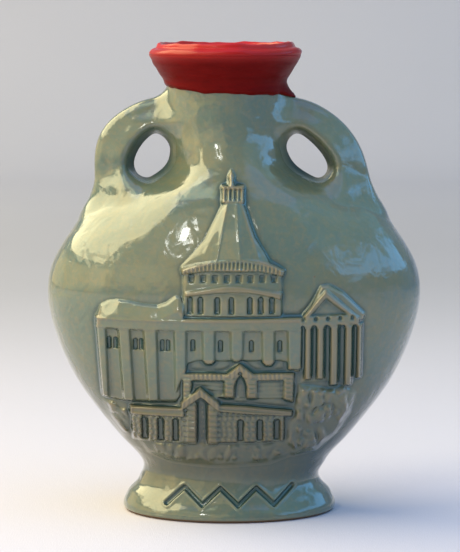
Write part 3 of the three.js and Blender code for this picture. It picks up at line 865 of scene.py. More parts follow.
def upper_gatehouse(relief):
    relief.sprig = "relief_upper_gate"
    relief.raised((-12.9, 14.9, 30.0, 39.6), 1.1, 0.25)
    for panel in ((-10.5, -2.7, 34.0, 37.8), (5.9, 12.3, 31.4, 37.8)):
        relief.courses(relief.sunk(panel, 0.6, 0.2), 1.25, 0, 0.16, 0.2)
    relief.ribs(relief.raised((-12.9, 14.9, 37.9, 39.65), 1.75, 0.18), 1.12, 0.42, 0.17, start=0.3)
    for post in ((-12.9, -10.8, 30.4, 39.6), (12.6, 14.9, 30.4, 39.6)):
        relief.courses(relief.raised(post, 1.8, 0.2), 1.2, 0, 0.42, 0.19)
    relief.courses(relief.raised((-2.3, 5.6, 31.2, 39.6), 1.85, 0.2), 1.2, 0, 0.42, 0.19)
    relief.ribs(relief.raised(UPPER_GABLE, 2.25, 0.18), 1.15, 0.4, 0.16, start=1.5)
    relief.courses(relief.sunk(UPPER_DOOR, 0.1, 0.2), 0.9, 1.0, 0.1, 0.12)


def lower_gatehouse(relief):
    relief.sprig = "relief_lower_gate"
    relief.raised(YARD, 0.3, 0.3, wet=1.5)
    for wall in LOWER_WALLS:
        relief.courses(relief.raised(wall, 1.25, 0.25), 1.5, 1.45, 0.42, 0.24)
    for x, low in LOWER_LIGHTS:
        relief.sunk(relief.arched(x, 1.55, low, 27.4), 0.0, 0.2)
    for roof in LOWER_ROOFS:
        relief.sunk(relief.raised(roof, 2.05, 0.2) + 0.62, 1.6, 0.22)
    for post in ((-12.1, -9.3, 20.6, 32.0), (-6.8, -4.2, 20.6, 32.0)):
        relief.courses(relief.raised(post, 1.8, 0.2), 1.5, 0, 0.42, 0.22)
    relief.raised([(-9.6, 30), (-8.3, 34), (-6.6, 30)], 1.5, 0.2)
    relief.sunk(LOWER_DOOR, 0.0, 0.2)
    relief.courses((-9.2, -6.9, 21.0, 32.5), 1.3, 1.2, 0.14, 0.12)
    for foot in (-13.5, -3.6):
        leg = relief.raised([(foot, 32.0), (-8.5, 36.0), (-8.45, 33.4), (foot, 29.7)], 2.55, 0.18)
        relief.ribs(leg, 1.25, 0.3, 0.15, start=-8.5)


# Planting: each clump's outline, its height, how many lobes it has, how far they swell, and how
# far they lean over
MOUNDS = {
    "relief_right_bush": (
        [(12.9, 20.4), (14.2, 25), (15.2, 29), (15.2, 33), (16.5, 36.2), (20, 35.6), (24, 34.8),
         (28, 35.4), (30.6, 33), (29.5, 28), (26, 22.5), (21, 18.3), (15, 17.6)],
        0.75, 64, 0.85, 0),
    "relief_left_bush": (
        [(-33.4, 30.6), (-31, 31.2), (-29, 30.5), (-26.8, 29.3), (-26.6, 21.5), (-28.5, 21),
         (-31.5, 25)], 0.3, 16, 0.75, 0.9),
    "relief_ground": (
        [(-24.5, 20.6), (-12.3, 20.6), (12.6, 21.2), (16, 18.3), (9, 15.8), (-5, 15.0),
         (-16, 15.6), (-22, 17.4)], 0.45, 46, 0.6, 0),
}
PLANTING_SEED = 7
LOBE_WIDTHS, LOBE_HEIGHTS, LOBE_SWELLS = (0.5, 0.95), (0.8, 1.9), (0.6, 1.1)
LOBE_INSET, LOBE_TILT = 0.5, 0.35


def planting(relief):
    """Clumps of lobes, some upright and some round, over a low mound."""
    draw = np.random.default_rng(PLANTING_SEED)
    for name, (outline, base, count, swell, over) in MOUNDS.items():
        relief.sprig = name
        mound = relief.raised(outline, base, 0.9)
        low, high = np.min(outline, axis=0), np.max(outline, axis=0)
        placed = 0
        while placed < count:
            x, z = draw.uniform(low, high)
            column = int(round((x - relief.left) / relief.step))
            row = int(round((z - relief.low) / relief.step))
            if mound[row, column] > -LOBE_INSET:
                continue
            placed += 1
            wide, tall = draw.uniform(*LOBE_WIDTHS), draw.uniform(*LOBE_HEIGHTS)
            tilt = draw.normal(0, LOBE_TILT) + over
            dx, dz = relief.x - x, relief.z - z
            across = (dx * math.cos(tilt) + dz * math.sin(tilt)) / wide
            along = (dz * math.cos(tilt) - dx * math.sin(tilt)) / tall
            lobe = np.exp(-(across ** 2 + along ** 2) ** 1.4) * smoothstep(-mound, 0.1, 1.6)
            top = base + swell * draw.uniform(*LOBE_SWELLS)
            relief.height = np.maximum(relief.height, relief.height * (1 - lobe) + lobe * top)


# Glaze fills the hollows: over what spread, how far below it, and how softly it meets their sides
FILL_SPREAD, FILL_DROP, FILL_SOFT = 0.55, 0.2, 0.12
POOL_DEPTH = 0.55


@functools.cache
def moulded_scene():
    """The height map of the scene, drawn from the back to the front, under its glaze."""
    sizes = bpy.context.scene.flask_sizes
    relief = Relief(sizes.scene_step / MM)
    for part in (drum_and_dome, lantern_and_finial, long_wall, porch, upper_gatehouse,
                 lower_gatehouse, planting):
        part(relief)
    melted = relief.blurred(relief.height, sizes.glaze_melt / MM)
    filled = relief.blurred(relief.height, FILL_SPREAD) - FILL_DROP
    around = relief.blurred(relief.height, sizes.pooling / MM)
    over = np.clip(0.5 + (filled - melted) / (2 * FILL_SOFT), 0, 1)
    relief.height = between(melted, filled, over) + FILL_SOFT * over * (1 - over)
    relief.pool = np.clip((around - melted) * relief.wet / POOL_DEPTH, -1, 1)
    return relief


def pool_at(relief, points):
    """The glaze's thickness at points of the flask's front, from the scene's map."""
    x, y, z = points.T
    column = np.clip((x - relief.left) / relief.step, 0, len(relief.xs) - 1.001)
    row = np.clip((z - relief.low) / relief.step, 0, len(relief.zs) - 1.001)
    i, j = column.astype(int), row.astype(int)
    u, v = column - i, row - j
    found = sum(relief.pool[j + up, i + over] * (u if over else 1 - u) * (v if up else 1 - v)
                for up in (0, 1) for over in (0, 1))
    inside = (x > relief.left) & (x < relief.xs[-1]) & (y < 0)
    inside &= (z > relief.low) & (z < relief.zs[-1])
    return np.where(inside, found, 0)


# Sprigs: how far each reaches past its members, how far its front stands off the belly and dips
# under it at the edge, how deep its back lies in the wall, and the steepest wall that it follows
SPRIG_MARGIN = 1.7
SPRIG_LIFT = 0.035
SPRIG_DIP = 0.14
SPRIG_DIP_START = 0.55 * SPRIG_MARGIN
SPRIG_ROOT = 0.9
SPRIG_STEEPEST = 1.7


def sprig_pieces(relief):
    """One closed piece for each sprig: its front lies on the belly, and its back in the wall."""
    names = list(relief.sprigs)
    distances = np.stack([relief.sprigs[name] for name in names])
    nearest, edge = distances.argmin(0), distances.min(0)
    x, z = relief.x, relief.z
    inside = np.clip(1 - ((x - lean(z)) / half_width(z)) ** 2, 0.02, 1)
    belly = -half_depth(z) * np.sqrt(inside) + AXIS_Y
    slope_z, slope_x = np.gradient(belly, relief.step)
    steep = np.minimum(np.sqrt(1 + slope_x ** 2 + slope_z ** 2), SPRIG_STEEPEST)
    front = belly - relief.height * steep
    tilt_z, tilt_x = np.gradient(front, relief.step)
    normals = np.stack([tilt_x, -np.ones_like(x), tilt_z], axis=-1)
    normals /= np.linalg.norm(normals, axis=-1, keepdims=True)
    lift = between(SPRIG_LIFT, -SPRIG_DIP, smoothstep(edge, SPRIG_DIP_START, SPRIG_MARGIN))
    front = front - lift * steep
    back = belly + SPRIG_ROOT * steep
    cell_edge = np.maximum.reduce([edge[:-1, :-1], edge[1:, :-1], edge[:-1, 1:], edge[1:, 1:]])
    owner = np.where(cell_edge < SPRIG_MARGIN, nearest[:-1, :-1], -1)
    columns = x.shape[1]
    for k, name in enumerate(names):
        rows, cols = np.nonzero(owner == k)
        corner = rows * columns + cols
        quads = np.stack([corner, corner + 1, corner + 1 + columns, corner + columns], axis=1)
        used, local = np.unique(quads, return_inverse=True)
        quads, count = local.reshape(-1, 4), len(used)
        sides = np.concatenate([quads[:, [i, (i + 1) % 4]] for i in range(4)])
        keys, mirrored = sides @ (count, 1), sides @ (1, count)
        rim = sides[~np.isin(keys, mirrored)]
        walls = np.stack([rim[:, 1], rim[:, 0], rim[:, 0] + count, rim[:, 1] + count], axis=1)
        faces = np.concatenate([quads, quads[:, ::-1] + count, walls])
        points = np.concatenate([
            np.stack([x.ravel()[used], level.ravel()[used], z.ravel()[used]], axis=1)
            for level in (front, back)])
        piece = new_piece(name + ".sprig", points, faces.tolist())
        piece.data.shade_smooth()
        set_normals(piece, np.concatenate([normals.reshape(-1, 3)[used], np.zeros((count, 3))]))
        set_mark(piece, "pool", np.concatenate([relief.pool.ravel()[used], np.zeros(count)]))
        yield name, piece


# Belly: sides of the lip's round, the mouth's bevel, the stations down the bore, and the step from
# the bore to the cavity
LIP_TURNS = 5
MOUTH_BEVEL = 1.2
BORE_SHARES = (0.02, 0.3, 0.6, 0.98)
BORE_STEP = 1.2
ON_SKIN = 0.004
HIDDEN_POOL = 0.3
# Painted shade, laid on as darker pooled glaze, below these heights
WAIST_SHADE_POOL = 0.3
WAIST_SHADE_SPAN = (17, 34)
# Beside the holes of the handles glaze gathers, darkened further by painted shade, and in them it
# lies dull: how far out and how high the middle of each is, how far it spreads that way, and how
# far it spreads in depth
SHADE_GATHER_PLACE, SHADE_GATHER_SPREAD, SHADE_GATHER_DEPTH, SHADE_GATHER_POOL = (17.5, 90), (4.5, 7), 8.0, 0.9
DULL_PLACE, DULL_SPREAD, DULL_DEPTH, DULL_EDGE = (20, 95), (8.0, 9), 7.5, (0.12, 0.5)


class FLASK_OT_belly(bpy.types.Operator):
    """Belly, neck and lip, in one thin wall"""
    bl_idname = "flask.belly"
    bl_label = "Belly and neck"

    def execute(self, context):
        wall = context.scene.flask_sizes.wall / MM
        round_foot = LIP_HEIGHT - LIP_ROUND
        rings = [skin_ring(z) for z in ring_heights(WAIST_HEIGHT, round_foot, RING_STEP)]
        top = lean(LIP_HEIGHT)
        for turn in np.linspace(0, math.pi / 2, LIP_TURNS)[1:]:
            out = LIP_RADIUS - LIP_ROUND * (1 - math.cos(turn))
            rings.append((round_foot + LIP_ROUND * math.sin(turn), out, out, top))
        bore_top, bore_foot = CORK_TOP_RADIUS + FIT, CORK_FOOT_RADIUS + FIT
        rings.append((LIP_HEIGHT, bore_top + MOUTH_BEVEL, bore_top + MOUTH_BEVEL, top))
        for share in BORE_SHARES:
            radius, z = between(bore_top, bore_foot, share), between(LIP_HEIGHT, CORK_FOOT, share)
            rings.append((z, radius, radius, float(lean(z))))
        inner = ring_heights(WAIST_HEIGHT, CORK_FOOT - BORE_STEP, 3 * RING_STEP)
        rings += [skin_ring(z, wall) for z in inner[::-1]]
        piece = turned_loft("flask_body.skin", rings, BODY_SIDES, "joined")
        points = read_points(piece.data)
        across = np.abs(points[:, 0] - lean(points[:, 2])) / half_width(points[:, 2])
        points[:, 1] -= (points[:, 1] - AXIS_Y) * (
            1 - pinched(np.minimum(across, 1), points[:, 2]))
        write_points(piece.data, points)
        outer = (np.abs(skin_level(points)) < ON_SKIN) & (points[:, 2] < FLARE_HEIGHT)
        set_normals(piece, np.where(outer[:, None], skin_normal(points), 0))
        # The pool mark: glaze in the scene's hollows, plus painted shade by the handle holes and
        # round the waist
        pool = pool_at(moulded_scene(), points) + handle_shade(points) + waist_shade(points)
        set_mark(piece, "pool", np.clip(np.where(outer, pool, HIDDEN_POOL), -1, 1))
        set_mark(piece, "matt", hole_shade(points))
        dress(piece, "flask", GLAZE, ["flask_body"])
        return {"FINISHED"}


def near_hole(points, place, spread):
    """1 at a place on either side of the neck, falling off over a spread."""
    out = (np.abs(points[:, 0] - lean(points[:, 2])) - place[0]) / spread[0]
    return np.exp(-out ** 2 - ((points[:, 2] - place[1]) / spread[1]) ** 2)


def handle_shade(points):
    """Glaze gathers where the handles spring from the neck and the shoulder, darkened further as
    painted shade.
    """
    shallow = np.exp(-((points[:, 1] - AXIS_Y) / SHADE_GATHER_DEPTH) ** 2)
    return SHADE_GATHER_POOL * near_hole(points, SHADE_GATHER_PLACE, SHADE_GATHER_SPREAD) * shallow


def waist_shade(points):
    """Painted shade round the waist and the foot, laid on as darker pooled glaze."""
    return WAIST_SHADE_POOL * (1 - smoothstep(points[:, 2], *WAIST_SHADE_SPAN))


def hole_shade(points):
    """The glaze is dull inside the handle holes."""
    middle = np.exp(-((points[:, 1] - AXIS_Y) / DULL_DEPTH) ** 4)
    return smoothstep(near_hole(points, DULL_PLACE, DULL_SPREAD) * middle, *DULL_EDGE)


# Foot: a zigzag of cut strokes across its front, with a raised burr along each cut, the round of
# its rim, and the recess under it as height and inset
BAND_LOW, BAND_HIGH = 4.4, 8.6
BAND_STROKE, BAND_DEPTH, BAND_PITCH = 0.9, 0.6, 4.6
BAND_COUNT, BAND_SOFT = 3, 0.28
BAND_EDGES = (BAND_LOW - 1, BAND_HIGH + 1)
BAND_CLEAR = BAND_STROKE + 0.8
BURR_HEIGHT, BURR_PLACE, BURR_WIDTH = 0.12, 0.45, 0.28
RIM_ROUND = 1.3
RIM_TURNS = 7
RECESS_RINGS = [
    (FOOT_RECESS, FOOT_RIM_WIDTH + 0.5), (0.4, FOOT_RIM_WIDTH), (0, FOOT_RIM_WIDTH - 0.4)]
FOOT_SQUEEZE = 0.28
BARE_CLAY = 0.45 * RIM_ROUND


def band_distance(points):
    """How far points on the front of the foot are from the middle of a cut stroke."""
    x, z = points[:, 0] - FOOT_LEAN, points[:, 2]
    middle, rise = (BAND_LOW + BAND_HIGH) / 2, BAND_HIGH - BAND_LOW
    nearest = np.full(len(points), np.inf)
    for i in range(-BAND_COUNT, BAND_COUNT + 1):
        way = (1 if i % 2 else -1) * BAND_PITCH / 2
        along = np.array([2 * way, rise])
        px, pz = x - (i * BAND_PITCH - way), z - (middle - rise / 2)
        share = np.clip((px * along[0] + pz * along[1]) / (along @ along), 0, 1)
        nearest = np.minimum(nearest, np.hypot(px - share * along[0], pz - share * along[1]))
    return np.where(points[:, 1] < AXIS_Y, nearest, np.inf)


class FLASK_OT_foot(bpy.types.Operator):
    """Pedestal foot with a cut zigzag, a bare rim and a recess under it"""
    bl_idname = "flask.foot"
    bl_label = "Foot"

    def execute(self, context):
        wall = context.scene.flask_sizes.wall / MM
        rim_wide, rim_deep = float(half_width(RIM_ROUND)), float(half_depth(RIM_ROUND))
        under = list(RECESS_RINGS)
        for turn in np.linspace(0, math.pi / 2, RIM_TURNS):
            under.append((RIM_ROUND * (1 - math.cos(turn)), RIM_ROUND * (1 - math.sin(turn))))
        rings = [(z, rim_wide - inset, rim_deep - inset, FOOT_LEAN) for z, inset in under]
        fine = np.concatenate([
            np.linspace(RIM_ROUND, BAND_EDGES[0], 10)[1:-1], np.linspace(*BAND_EDGES, 46),
            np.linspace(BAND_EDGES[1], WAIST_HEIGHT, 6)[1:]])
        rings += [skin_ring(z) for z in fine]
        floor = FOOT_RECESS + FOOT_FLOOR
        for z in (WAIST_HEIGHT, floor + 1.0, floor):
            rings.append((z, WAIST_HALF_WIDTH - wall, WAIST_HALF_DEPTH - wall, float(lean(z))))
        piece = turned_loft("foot.skin", rings, FOOT_SIDES, "filled")
        points = self.squeezed(read_points(piece.data))
        skin = (np.abs(skin_level(points)) < ON_SKIN) & (points[:, 2] > RIM_ROUND - 0.01)
        normals = skin_normal(points)
        away = band_distance(points)
        depth = BAND_DEPTH * soft_inside(away - BAND_STROKE / 2, BAND_SOFT)
        burr = BURR_HEIGHT * np.exp(-((away - BAND_STROKE / 2 - BURR_PLACE) / BURR_WIDTH) ** 2)
        cut = np.where(skin, depth - burr, 0)
        write_points(piece.data, points - normals * cut[:, None])
        plain = skin & (away > BAND_CLEAR)
        set_normals(piece, np.where(plain[:, None], normals, 0))
        # The pool mark: painted shade round the waist, glaze gathered in the cuts and thin on the
        # burrs
        pool = np.where(skin, waist_shade(points) + 0.8 * depth / BAND_DEPTH - 2.0 * burr, 0)
        set_mark(piece, "pool", np.clip(pool, -1, 1))
        dress(piece, "flask", GLAZE_AND_CLAY, ["foot"])
        for polygon in piece.data.polygons:
            if polygon.center.z < BARE_CLAY * MM:
                polygon.material_index = 1
        return {"FINISHED"}

    def squeezed(self, points):
        """The rings' points drawn closer together at the front, where the strokes are."""
        aside, a, b = lean(points[:, 2]), half_width(points[:, 2]), half_depth(points[:, 2])
        x, y = (points[:, 0] - aside) / a, (points[:, 1] - AXIS_Y) / b
        scale, angle = np.sqrt(x ** 2 + y ** 2), np.arctan2(y, x)
        angle = angle - FOOT_SQUEEZE * np.sin(2 * (angle + math.pi / 2))
        moved = points.copy()
        moved[:, 0] = a * scale * np.cos(angle) + aside
        moved[:, 1] = b * scale * np.sin(angle) + AXIS_Y
        return np.where(scale[:, None] > 1e-6, moved, points)


HANDLE_ROOT = 1.6


class FLASK_OT_handles(bpy.types.Operator):
    """Two pulled ear handles, run into the neck and the shoulder with fillets"""
    bl_idname = "flask.handles"
    bl_label = "Handles"

    def execute(self, context):
        fillet = context.scene.flask_sizes.fillet / MM
        for side, name in ((-1, "handle_left"), (1, "handle_right")):
            dress(self.handle(side, name, fillet), "flask", GLAZE, [name])
        return {"FINISHED"}

    def route(self, side, section):
        """Points of the bar's skin before its fillets: along it, then round it."""
        foot_height = between(BELLY_HEIGHT, NECK_BASE, HANDLE_FOOT_SHARE)
        reach = HANDLE_REACH - HANDLE_WIDTH / 2
        rows = [[between(NECK_RADIUS, reach, out), between(HANDLE_CROWN, foot_height, down),
                 wide * HANDLE_WIDTH / 2, deep * HANDLE_DEPTH / 2]
                for out, down, wide, deep in HANDLE_SHARES]
        rows[-1][0] = float(half_width(foot_height)) - HANDLE_SINK
        rows = smooth_through(rows, HANDLE_SAMPLES)
        beyond = np.arange(1, HANDLE_OVERRUN + 1)[:, None]
        rows = np.concatenate([rows, rows[-1] + beyond * (rows[-1] - rows[-2]) * (1, 1, 0, 0)])
        along = np.gradient(rows[:, :2], axis=0)
        along /= np.linalg.norm(along, axis=1, keepdims=True)
        out = rows[:, 2, None] * section[None, :, 0]
        deep = rows[:, 3, None] * section[None, :, 1]
        x = rows[:, 0, None] - along[:, 1, None] * out
        z = rows[:, 1, None] + along[:, 0, None] * out
        return np.stack([side * x + lean(z), AXIS_Y - deep, z], axis=-1)

    def crossing(self, levels, distance, positions, way):
        """Where each line of the bar, from its middle outwards, first comes down to its levels."""
        middle = HANDLE_SAMPLES // 2
        order = np.arange(middle, len(distance)) if way > 0 else np.arange(middle, -1, -1)
        found = np.zeros_like(levels)
        for j in range(distance.shape[1]):
            run = distance[order, j]
            for k, level in enumerate(levels[:, j]):
                at = int(np.argmax(run <= level)) if (run <= level).any() else len(run) - 1
                before = max(at - 1, 0)
                share = (run[before] - level) / max(run[before] - run[at], 1e-9) if at else 0
                found[k, j] = between(
                    positions[order[before]], positions[order[at]], min(share, 1))
        return found

    def handle(self, side, name, fillet):
        half = smooth_through(SECTION_SHARES, HANDLE_SIDES // 2 + 1)
        section = np.concatenate([half, half[-2:0:-1] * (1, -1)])
        skin = self.route(side, section)
        positions = np.linspace(0, 1, len(skin))
        distance = skin_distance(skin)
        turns = np.linspace(0, math.pi / 2, FILLET_RINGS)
        rise, spread = 1 - np.cos(turns), 1 - np.sin(turns)
        face = section[:, 1] ** 2
        neck_radius = fillet * between(NECK_FILLET, 1.2 * NECK_FILLET, face)
        foot_radius = fillet * between(1.0, FACE_FILLET, face)
        neck = self.crossing(np.outer(rise, neck_radius), distance, positions, -1)
        shoulder = self.crossing(np.outer(rise, foot_radius), distance, positions, 1)
        shares = np.linspace(0, 1, HANDLE_RINGS)[1:-1, None]
        rings = np.concatenate([neck, between(neck[-1], shoulder[-1], shares), shoulder[::-1]])
        points = np.stack([
            np.stack([np.interp(rings[:, j], positions, skin[:, j, axis]) for axis in range(3)],
                     axis=-1) for j in range(len(section))], axis=1)
        own = self.outward(points)
        for turn in range(FILLET_RINGS):
            for k, radius in ((turn, neck_radius), (len(rings) - 1 - turn, foot_radius)):
                normal = skin_normal(points[k])
                aside = own[k] - (own[k] * normal).sum(-1, keepdims=True) * normal
                points[k] += (spread[turn] * radius)[:, None] * aside
                for _ in range(3):
                    off = skin_distance(points[k]) - rise[turn] * radius
                    points[k] -= off[:, None] * skin_normal(points[k])
        ends = skin_normal(points[0]), skin_normal(points[-1])
        rows = np.concatenate([
            [points[0] - HANDLE_ROOT * ends[0]], points, [points[-1] - HANDLE_ROOT * ends[1]]])
        piece, flat = closed_tube(name + ".bar", rows, rows[0].mean(0), rows[-1].mean(0))
        sides = len(section)
        normals = np.zeros_like(flat)
        normals[sides:2 * sides] = ends[0]
        normals[-2 - 2 * sides:-2 - sides] = ends[1]
        set_normals(piece, normals)
        self.mark(piece, flat, section[:, 0], len(rows), 2.0 * fillet)
        return piece

    def mark(self, piece, points, out, rows, reach):
        """Glaze that is thicker and duller on the hole's side, with painted shade there, and like
        the skin's at the ends, where painted shade comes in from the body.
        """
        hole_side_shade, outer_side = np.clip(-out, 0, 1) ** 1.5, np.clip(out, 0, 1) ** 2
        pool = np.append(np.tile(0.55 * hole_side_shade - 0.3 * outer_side, rows), [0, 0])
        matt = np.append(np.tile(smoothstep(-out, 0.55, 0.95), rows), [0, 0])
        fade = smoothstep(skin_distance(points), 0.0, reach)
        set_mark(piece, "pool", np.clip(pool * fade + handle_shade(points) * (1 - fade), -1, 1))
        set_mark(piece, "matt", np.maximum(matt * fade, hole_shade(points) * (1 - fade)))

    def outward(self, points):
        """Outward directions of the bar's own skin."""
        along = np.gradient(points, axis=0)
        across = np.roll(points, -1, axis=1) - np.roll(points, 1, axis=1)
        own = np.cross(across, along)
        own /= np.maximum(np.linalg.norm(own, axis=-1, keepdims=True), 1e-9)
        centre = points.mean(axis=1, keepdims=True)
        return own if ((points - centre) * own).sum(-1).mean() > 0 else -own


class FLASK_OT_scene(bpy.types.Operator):
    """The moulded scene, sprig by sprig, with glaze run over it"""
    bl_idname = "flask.scene"
    bl_label = "Moulded scene"

    def execute(self, context):
        for name, piece in sprig_pieces(moulded_scene()):
            dress(piece, "flask", GLAZE, [name])
        return {"FINISHED"}


# Wax: the dipped edge by its height to the left, in front and to the right, the outline of the coat
# as radius by height, and the web over the right handle
WAX_LEFT, WAX_FRONT, WAX_RIGHT = 110.3, 109.0, 108.7
WAX_OUTLINE = [(108.0, 15.3), (110, 15.5), (112.0, 15.9), (113.2, 16.6), (114.3, 17.3),
               (115.3, 17.9), (116.3, 18.5), (117.4, 19.05), (118.1, 19.45), (118.6, 19.55)]
WAX_RINGS, WAX_SPACING = 44, 1.25
WAX_BEAD = 0.9
WAX_UNDERCUT, WAX_SINK = 0.12, 0.25
WAX_LIP_INSET, WAX_LIP_DROP = 2.2, 0.02
WAX_INSIDE = (LIP_HEIGHT - 0.5, 116.0, 114.0, 112.0, 110.8)
WEB_ANGLE = 0.30
WEB_REACH = 3.6
WEB_TOP = 112.8
WEB_EDGE = 107.7
WEB_FALL = 2.1
# Cap: from its foot on the collar over the rolled edge and the torn rim to the dish, as radius,
# height, and how much it rolls and tears there, then the radii of the rings under it and the dish
CAP_OUTLINE = [
    (19.5, 118.64, 0.0, 0), (19.58, 119.0, 0.3, 0.3), (19.3, 119.6, 0.8, 0.5),
    (18.6, 120.15, 1.0, 0.6), (17.95, 120.35, 0.9, 0.6), (17.7, 120.7, 0.7, 0.8),
    (17.5, 121.25, 0.5, 1.0), (17.1, 121.55, 0.4, 1.1), (16.6, 121.4, 0.4, 1.0),
    (16.1, 120.9, 0.4, 0.6), (15.2, 120.45, 0.2, 0.3), (12.5, 120.3, 0.1, 0.1),
]
CAP_TOP = 121.9
CAP_BASE = LIP_HEIGHT + 0.03
CAP_UNDER = (2.0, 10.0, 18.6)
DISH_HEIGHT = 120.3
DISH_RADII = (9.0, 5.0, 2.0)
LUMP_PLACE, LUMP_WIDTH = 0.25, 0.34


def round_waves(angle, seed, terms):
    """A closed wave round the mouth: the sum of a few waves of seeded turn and strength."""
    draw = np.random.default_rng(seed)
    wave = np.zeros_like(angle)
    for count, strength in terms:
        wave += strength * np.cos(count * angle + draw.uniform(0, 2 * math.pi))
    return wave


class FLASK_OT_wax(bpy.types.Operator):
    """Sealing wax: the dipped collar, which webs over a handle, and the cap with its torn rim"""
    bl_idname = "flask.wax"
    bl_label = "Sealing wax"

    def execute(self, context):
        angle = np.linspace(0, 2 * math.pi, WAX_SIDES, endpoint=False)
        dress(self.collar(angle), "flask", WAX, ["wax_collar"])
        dress(self.cap(angle), "stopper", WAX, ["wax_cap"])
        return {"FINISHED"}

    def row(self, angle, radius, height):
        """Points round the mouth, at a radius and a height that may change on the way."""
        x = radius * np.cos(angle) + lean(height)
        y = radius * np.sin(angle) + AXIS_Y
        return np.stack(np.broadcast_arrays(x, y, height), axis=-1)

    def turn(self, angle):
        """The angle from the right handle, less than half a turn either way."""
        return (angle + math.pi) % (2 * math.pi) - math.pi

    def web(self, angle):
        return np.exp(-(np.abs(self.turn(angle)) / WEB_ANGLE) ** 3)

    def edge_height(self, angle):
        aside = between(WAX_LEFT, WAX_RIGHT, (1 + np.cos(angle)) / 2)
        front = np.clip(-np.sin(angle), 0, 1) ** 1.5
        edge = aside + (WAX_FRONT - (WAX_LEFT + WAX_RIGHT) / 2) * front
        edge = edge + round_waves(angle, 3, [(5, 0.12), (9, 0.1), (14, 0.07), (23, 0.04)])
        web = self.web(angle)
        return edge * (1 - web) + WEB_EDGE * web

    def collar(self, angle):
        outline = smooth_through(WAX_OUTLINE, 200)
        edge, web = self.edge_height(angle), self.web(angle)
        inner_edge = edge + WAX_UNDERCUT
        rows = [self.row(angle, half_width(inner_edge) - WAX_SINK, inner_edge)]
        for k, share in enumerate(np.linspace(0, 1, WAX_RINGS) ** WAX_SPACING):
            z = between(edge, LIP_HEIGHT, share)
            coat = np.interp(z, outline[:, 0], outline[:, 1])
            bare = half_width(np.minimum(z, LIP_HEIGHT - LIP_ROUND))
            bead = np.sqrt(np.clip((z - edge) / WAX_BEAD, 0, 1)) * 0.94 + 0.06
            radius = bare + (coat - bare) * np.minimum(bead, 1)
            fall = np.clip((WEB_TOP - z) / (WEB_TOP - WEB_EDGE), 0, 1)
            radius = radius + web * WEB_REACH * fall ** WEB_FALL
            radius = radius + round_waves(angle, 11 + k // 6, [(3, 0.04), (7, 0.03), (12, 0.02)])
            rows.append(self.row(angle, radius, z))
        rows.append(self.row(angle, LIP_RADIUS - WAX_LIP_INSET, LIP_HEIGHT - WAX_LIP_DROP))
        for z in WAX_INSIDE:
            low = np.maximum(z, inner_edge + 0.3)
            rows.append(self.row(angle, half_width(low) - 0.5, low))
        faces = grid_faces(len(rows), len(angle), closed=True)
        piece = new_piece("wax_collar.coat", np.concatenate(rows), faces)
        point_out(piece)
        self.join_line(piece, WAX_RINGS, angle)
        return piece

    def cap(self, angle):
        torn = round_waves(angle, 21, [(3, 0.12), (7, 0.1), (12, 0.08), (19, 0.05), (31, 0.03)])
        lump = np.exp(-((self.turn(angle) + LUMP_PLACE) / LUMP_WIDTH) ** 2)
        roll = round_waves(angle, 22, [(2, 0.08), (5, 0.08), (9, 0.05)])
        rows = [self.row(angle, radius, CAP_BASE) for radius in CAP_UNDER]
        for radius, z, rolled, tear in smooth_through(CAP_OUTLINE, 60):
            out = radius + rolled * roll + 0.35 * tear * torn + 0.55 * rolled * lump
            up = np.minimum(z + 0.9 * tear * torn + 0.5 * tear * lump, CAP_TOP)
            rows.append(self.row(angle, out, np.maximum(up, CAP_BASE)))
        dish = round_waves(angle, 31, [(2, 0.05), (3, 0.05)])
        for radius in DISH_RADII:
            rows.append(self.row(angle, radius, DISH_HEIGHT + dish * radius / DISH_RADII[0]))
        middle = float(lean(LIP_HEIGHT))
        piece, _ = closed_tube("wax_cap.coat", np.stack(rows), (middle, AXIS_Y, CAP_BASE),
                               (middle, AXIS_Y, DISH_HEIGHT))
        self.join_line(piece, len(CAP_UNDER), angle)
        return piece

    def join_line(self, piece, row, angle):
        """Turns a row's normals straight out, so that the collar and the cap read as one roll."""
        normals = np.zeros((len(piece.data.vertices), 3))
        first = row * len(angle)
        normals[first:first + len(angle)] = np.stack(
            [np.cos(angle), np.sin(angle), np.zeros_like(angle)], axis=1)
        set_normals(piece, normals)


# Cork: its softened edge, its sides, and its pits as count, depth, width and how near the ends
CORK_BEVEL = 0.5
CORK_SIDES = 128
CORK_SEED = 5
PITS, PIT_DEPTH, PIT_WIDTH, PIT_REACH = 60, 0.16, 0.7, 6.2


class FLASK_OT_cork(bpy.types.Operator):
    """The cork under the wax, tapered, with softened edges"""
    bl_idname = "flask.cork"
    bl_label = "Cork"

    def execute(self, context):
        profile = [(CORK_FOOT, CORK_FOOT_RADIUS - CORK_BEVEL),
                   (CORK_FOOT + CORK_BEVEL, CORK_FOOT_RADIUS)]
        profile += [(between(CORK_FOOT, LIP_HEIGHT, share),
                     between(CORK_FOOT_RADIUS, CORK_TOP_RADIUS, share))
                    for share in np.linspace(0.1, 0.92, 24)]
        profile += [(LIP_HEIGHT - CORK_BEVEL, CORK_TOP_RADIUS),
                    (LIP_HEIGHT, CORK_TOP_RADIUS - CORK_BEVEL)]
        rings = [(z, radius, radius, float(lean(LIP_HEIGHT))) for z, radius in profile]
        piece = turned_loft("cork_stopper.cork", rings, CORK_SIDES, "filled")
        points = read_points(piece.data)
        draw = np.random.default_rng(CORK_SEED)
        dent = np.zeros(len(points))
        for _ in range(PITS):
            spot = points[draw.integers(len(points))]
            dent += PIT_DEPTH * np.exp(-(np.linalg.norm(points - spot, axis=1) / PIT_WIDTH) ** 2)
        inner = np.abs(points[:, 2] - (CORK_FOOT + LIP_HEIGHT) / 2) < PIT_REACH
        write_points(piece.data, points - vertex_normals(piece) * (dent * inner)[:, None])
        dress(piece, "stopper", CORK, ["cork_stopper"])
        return {"FINISHED"}


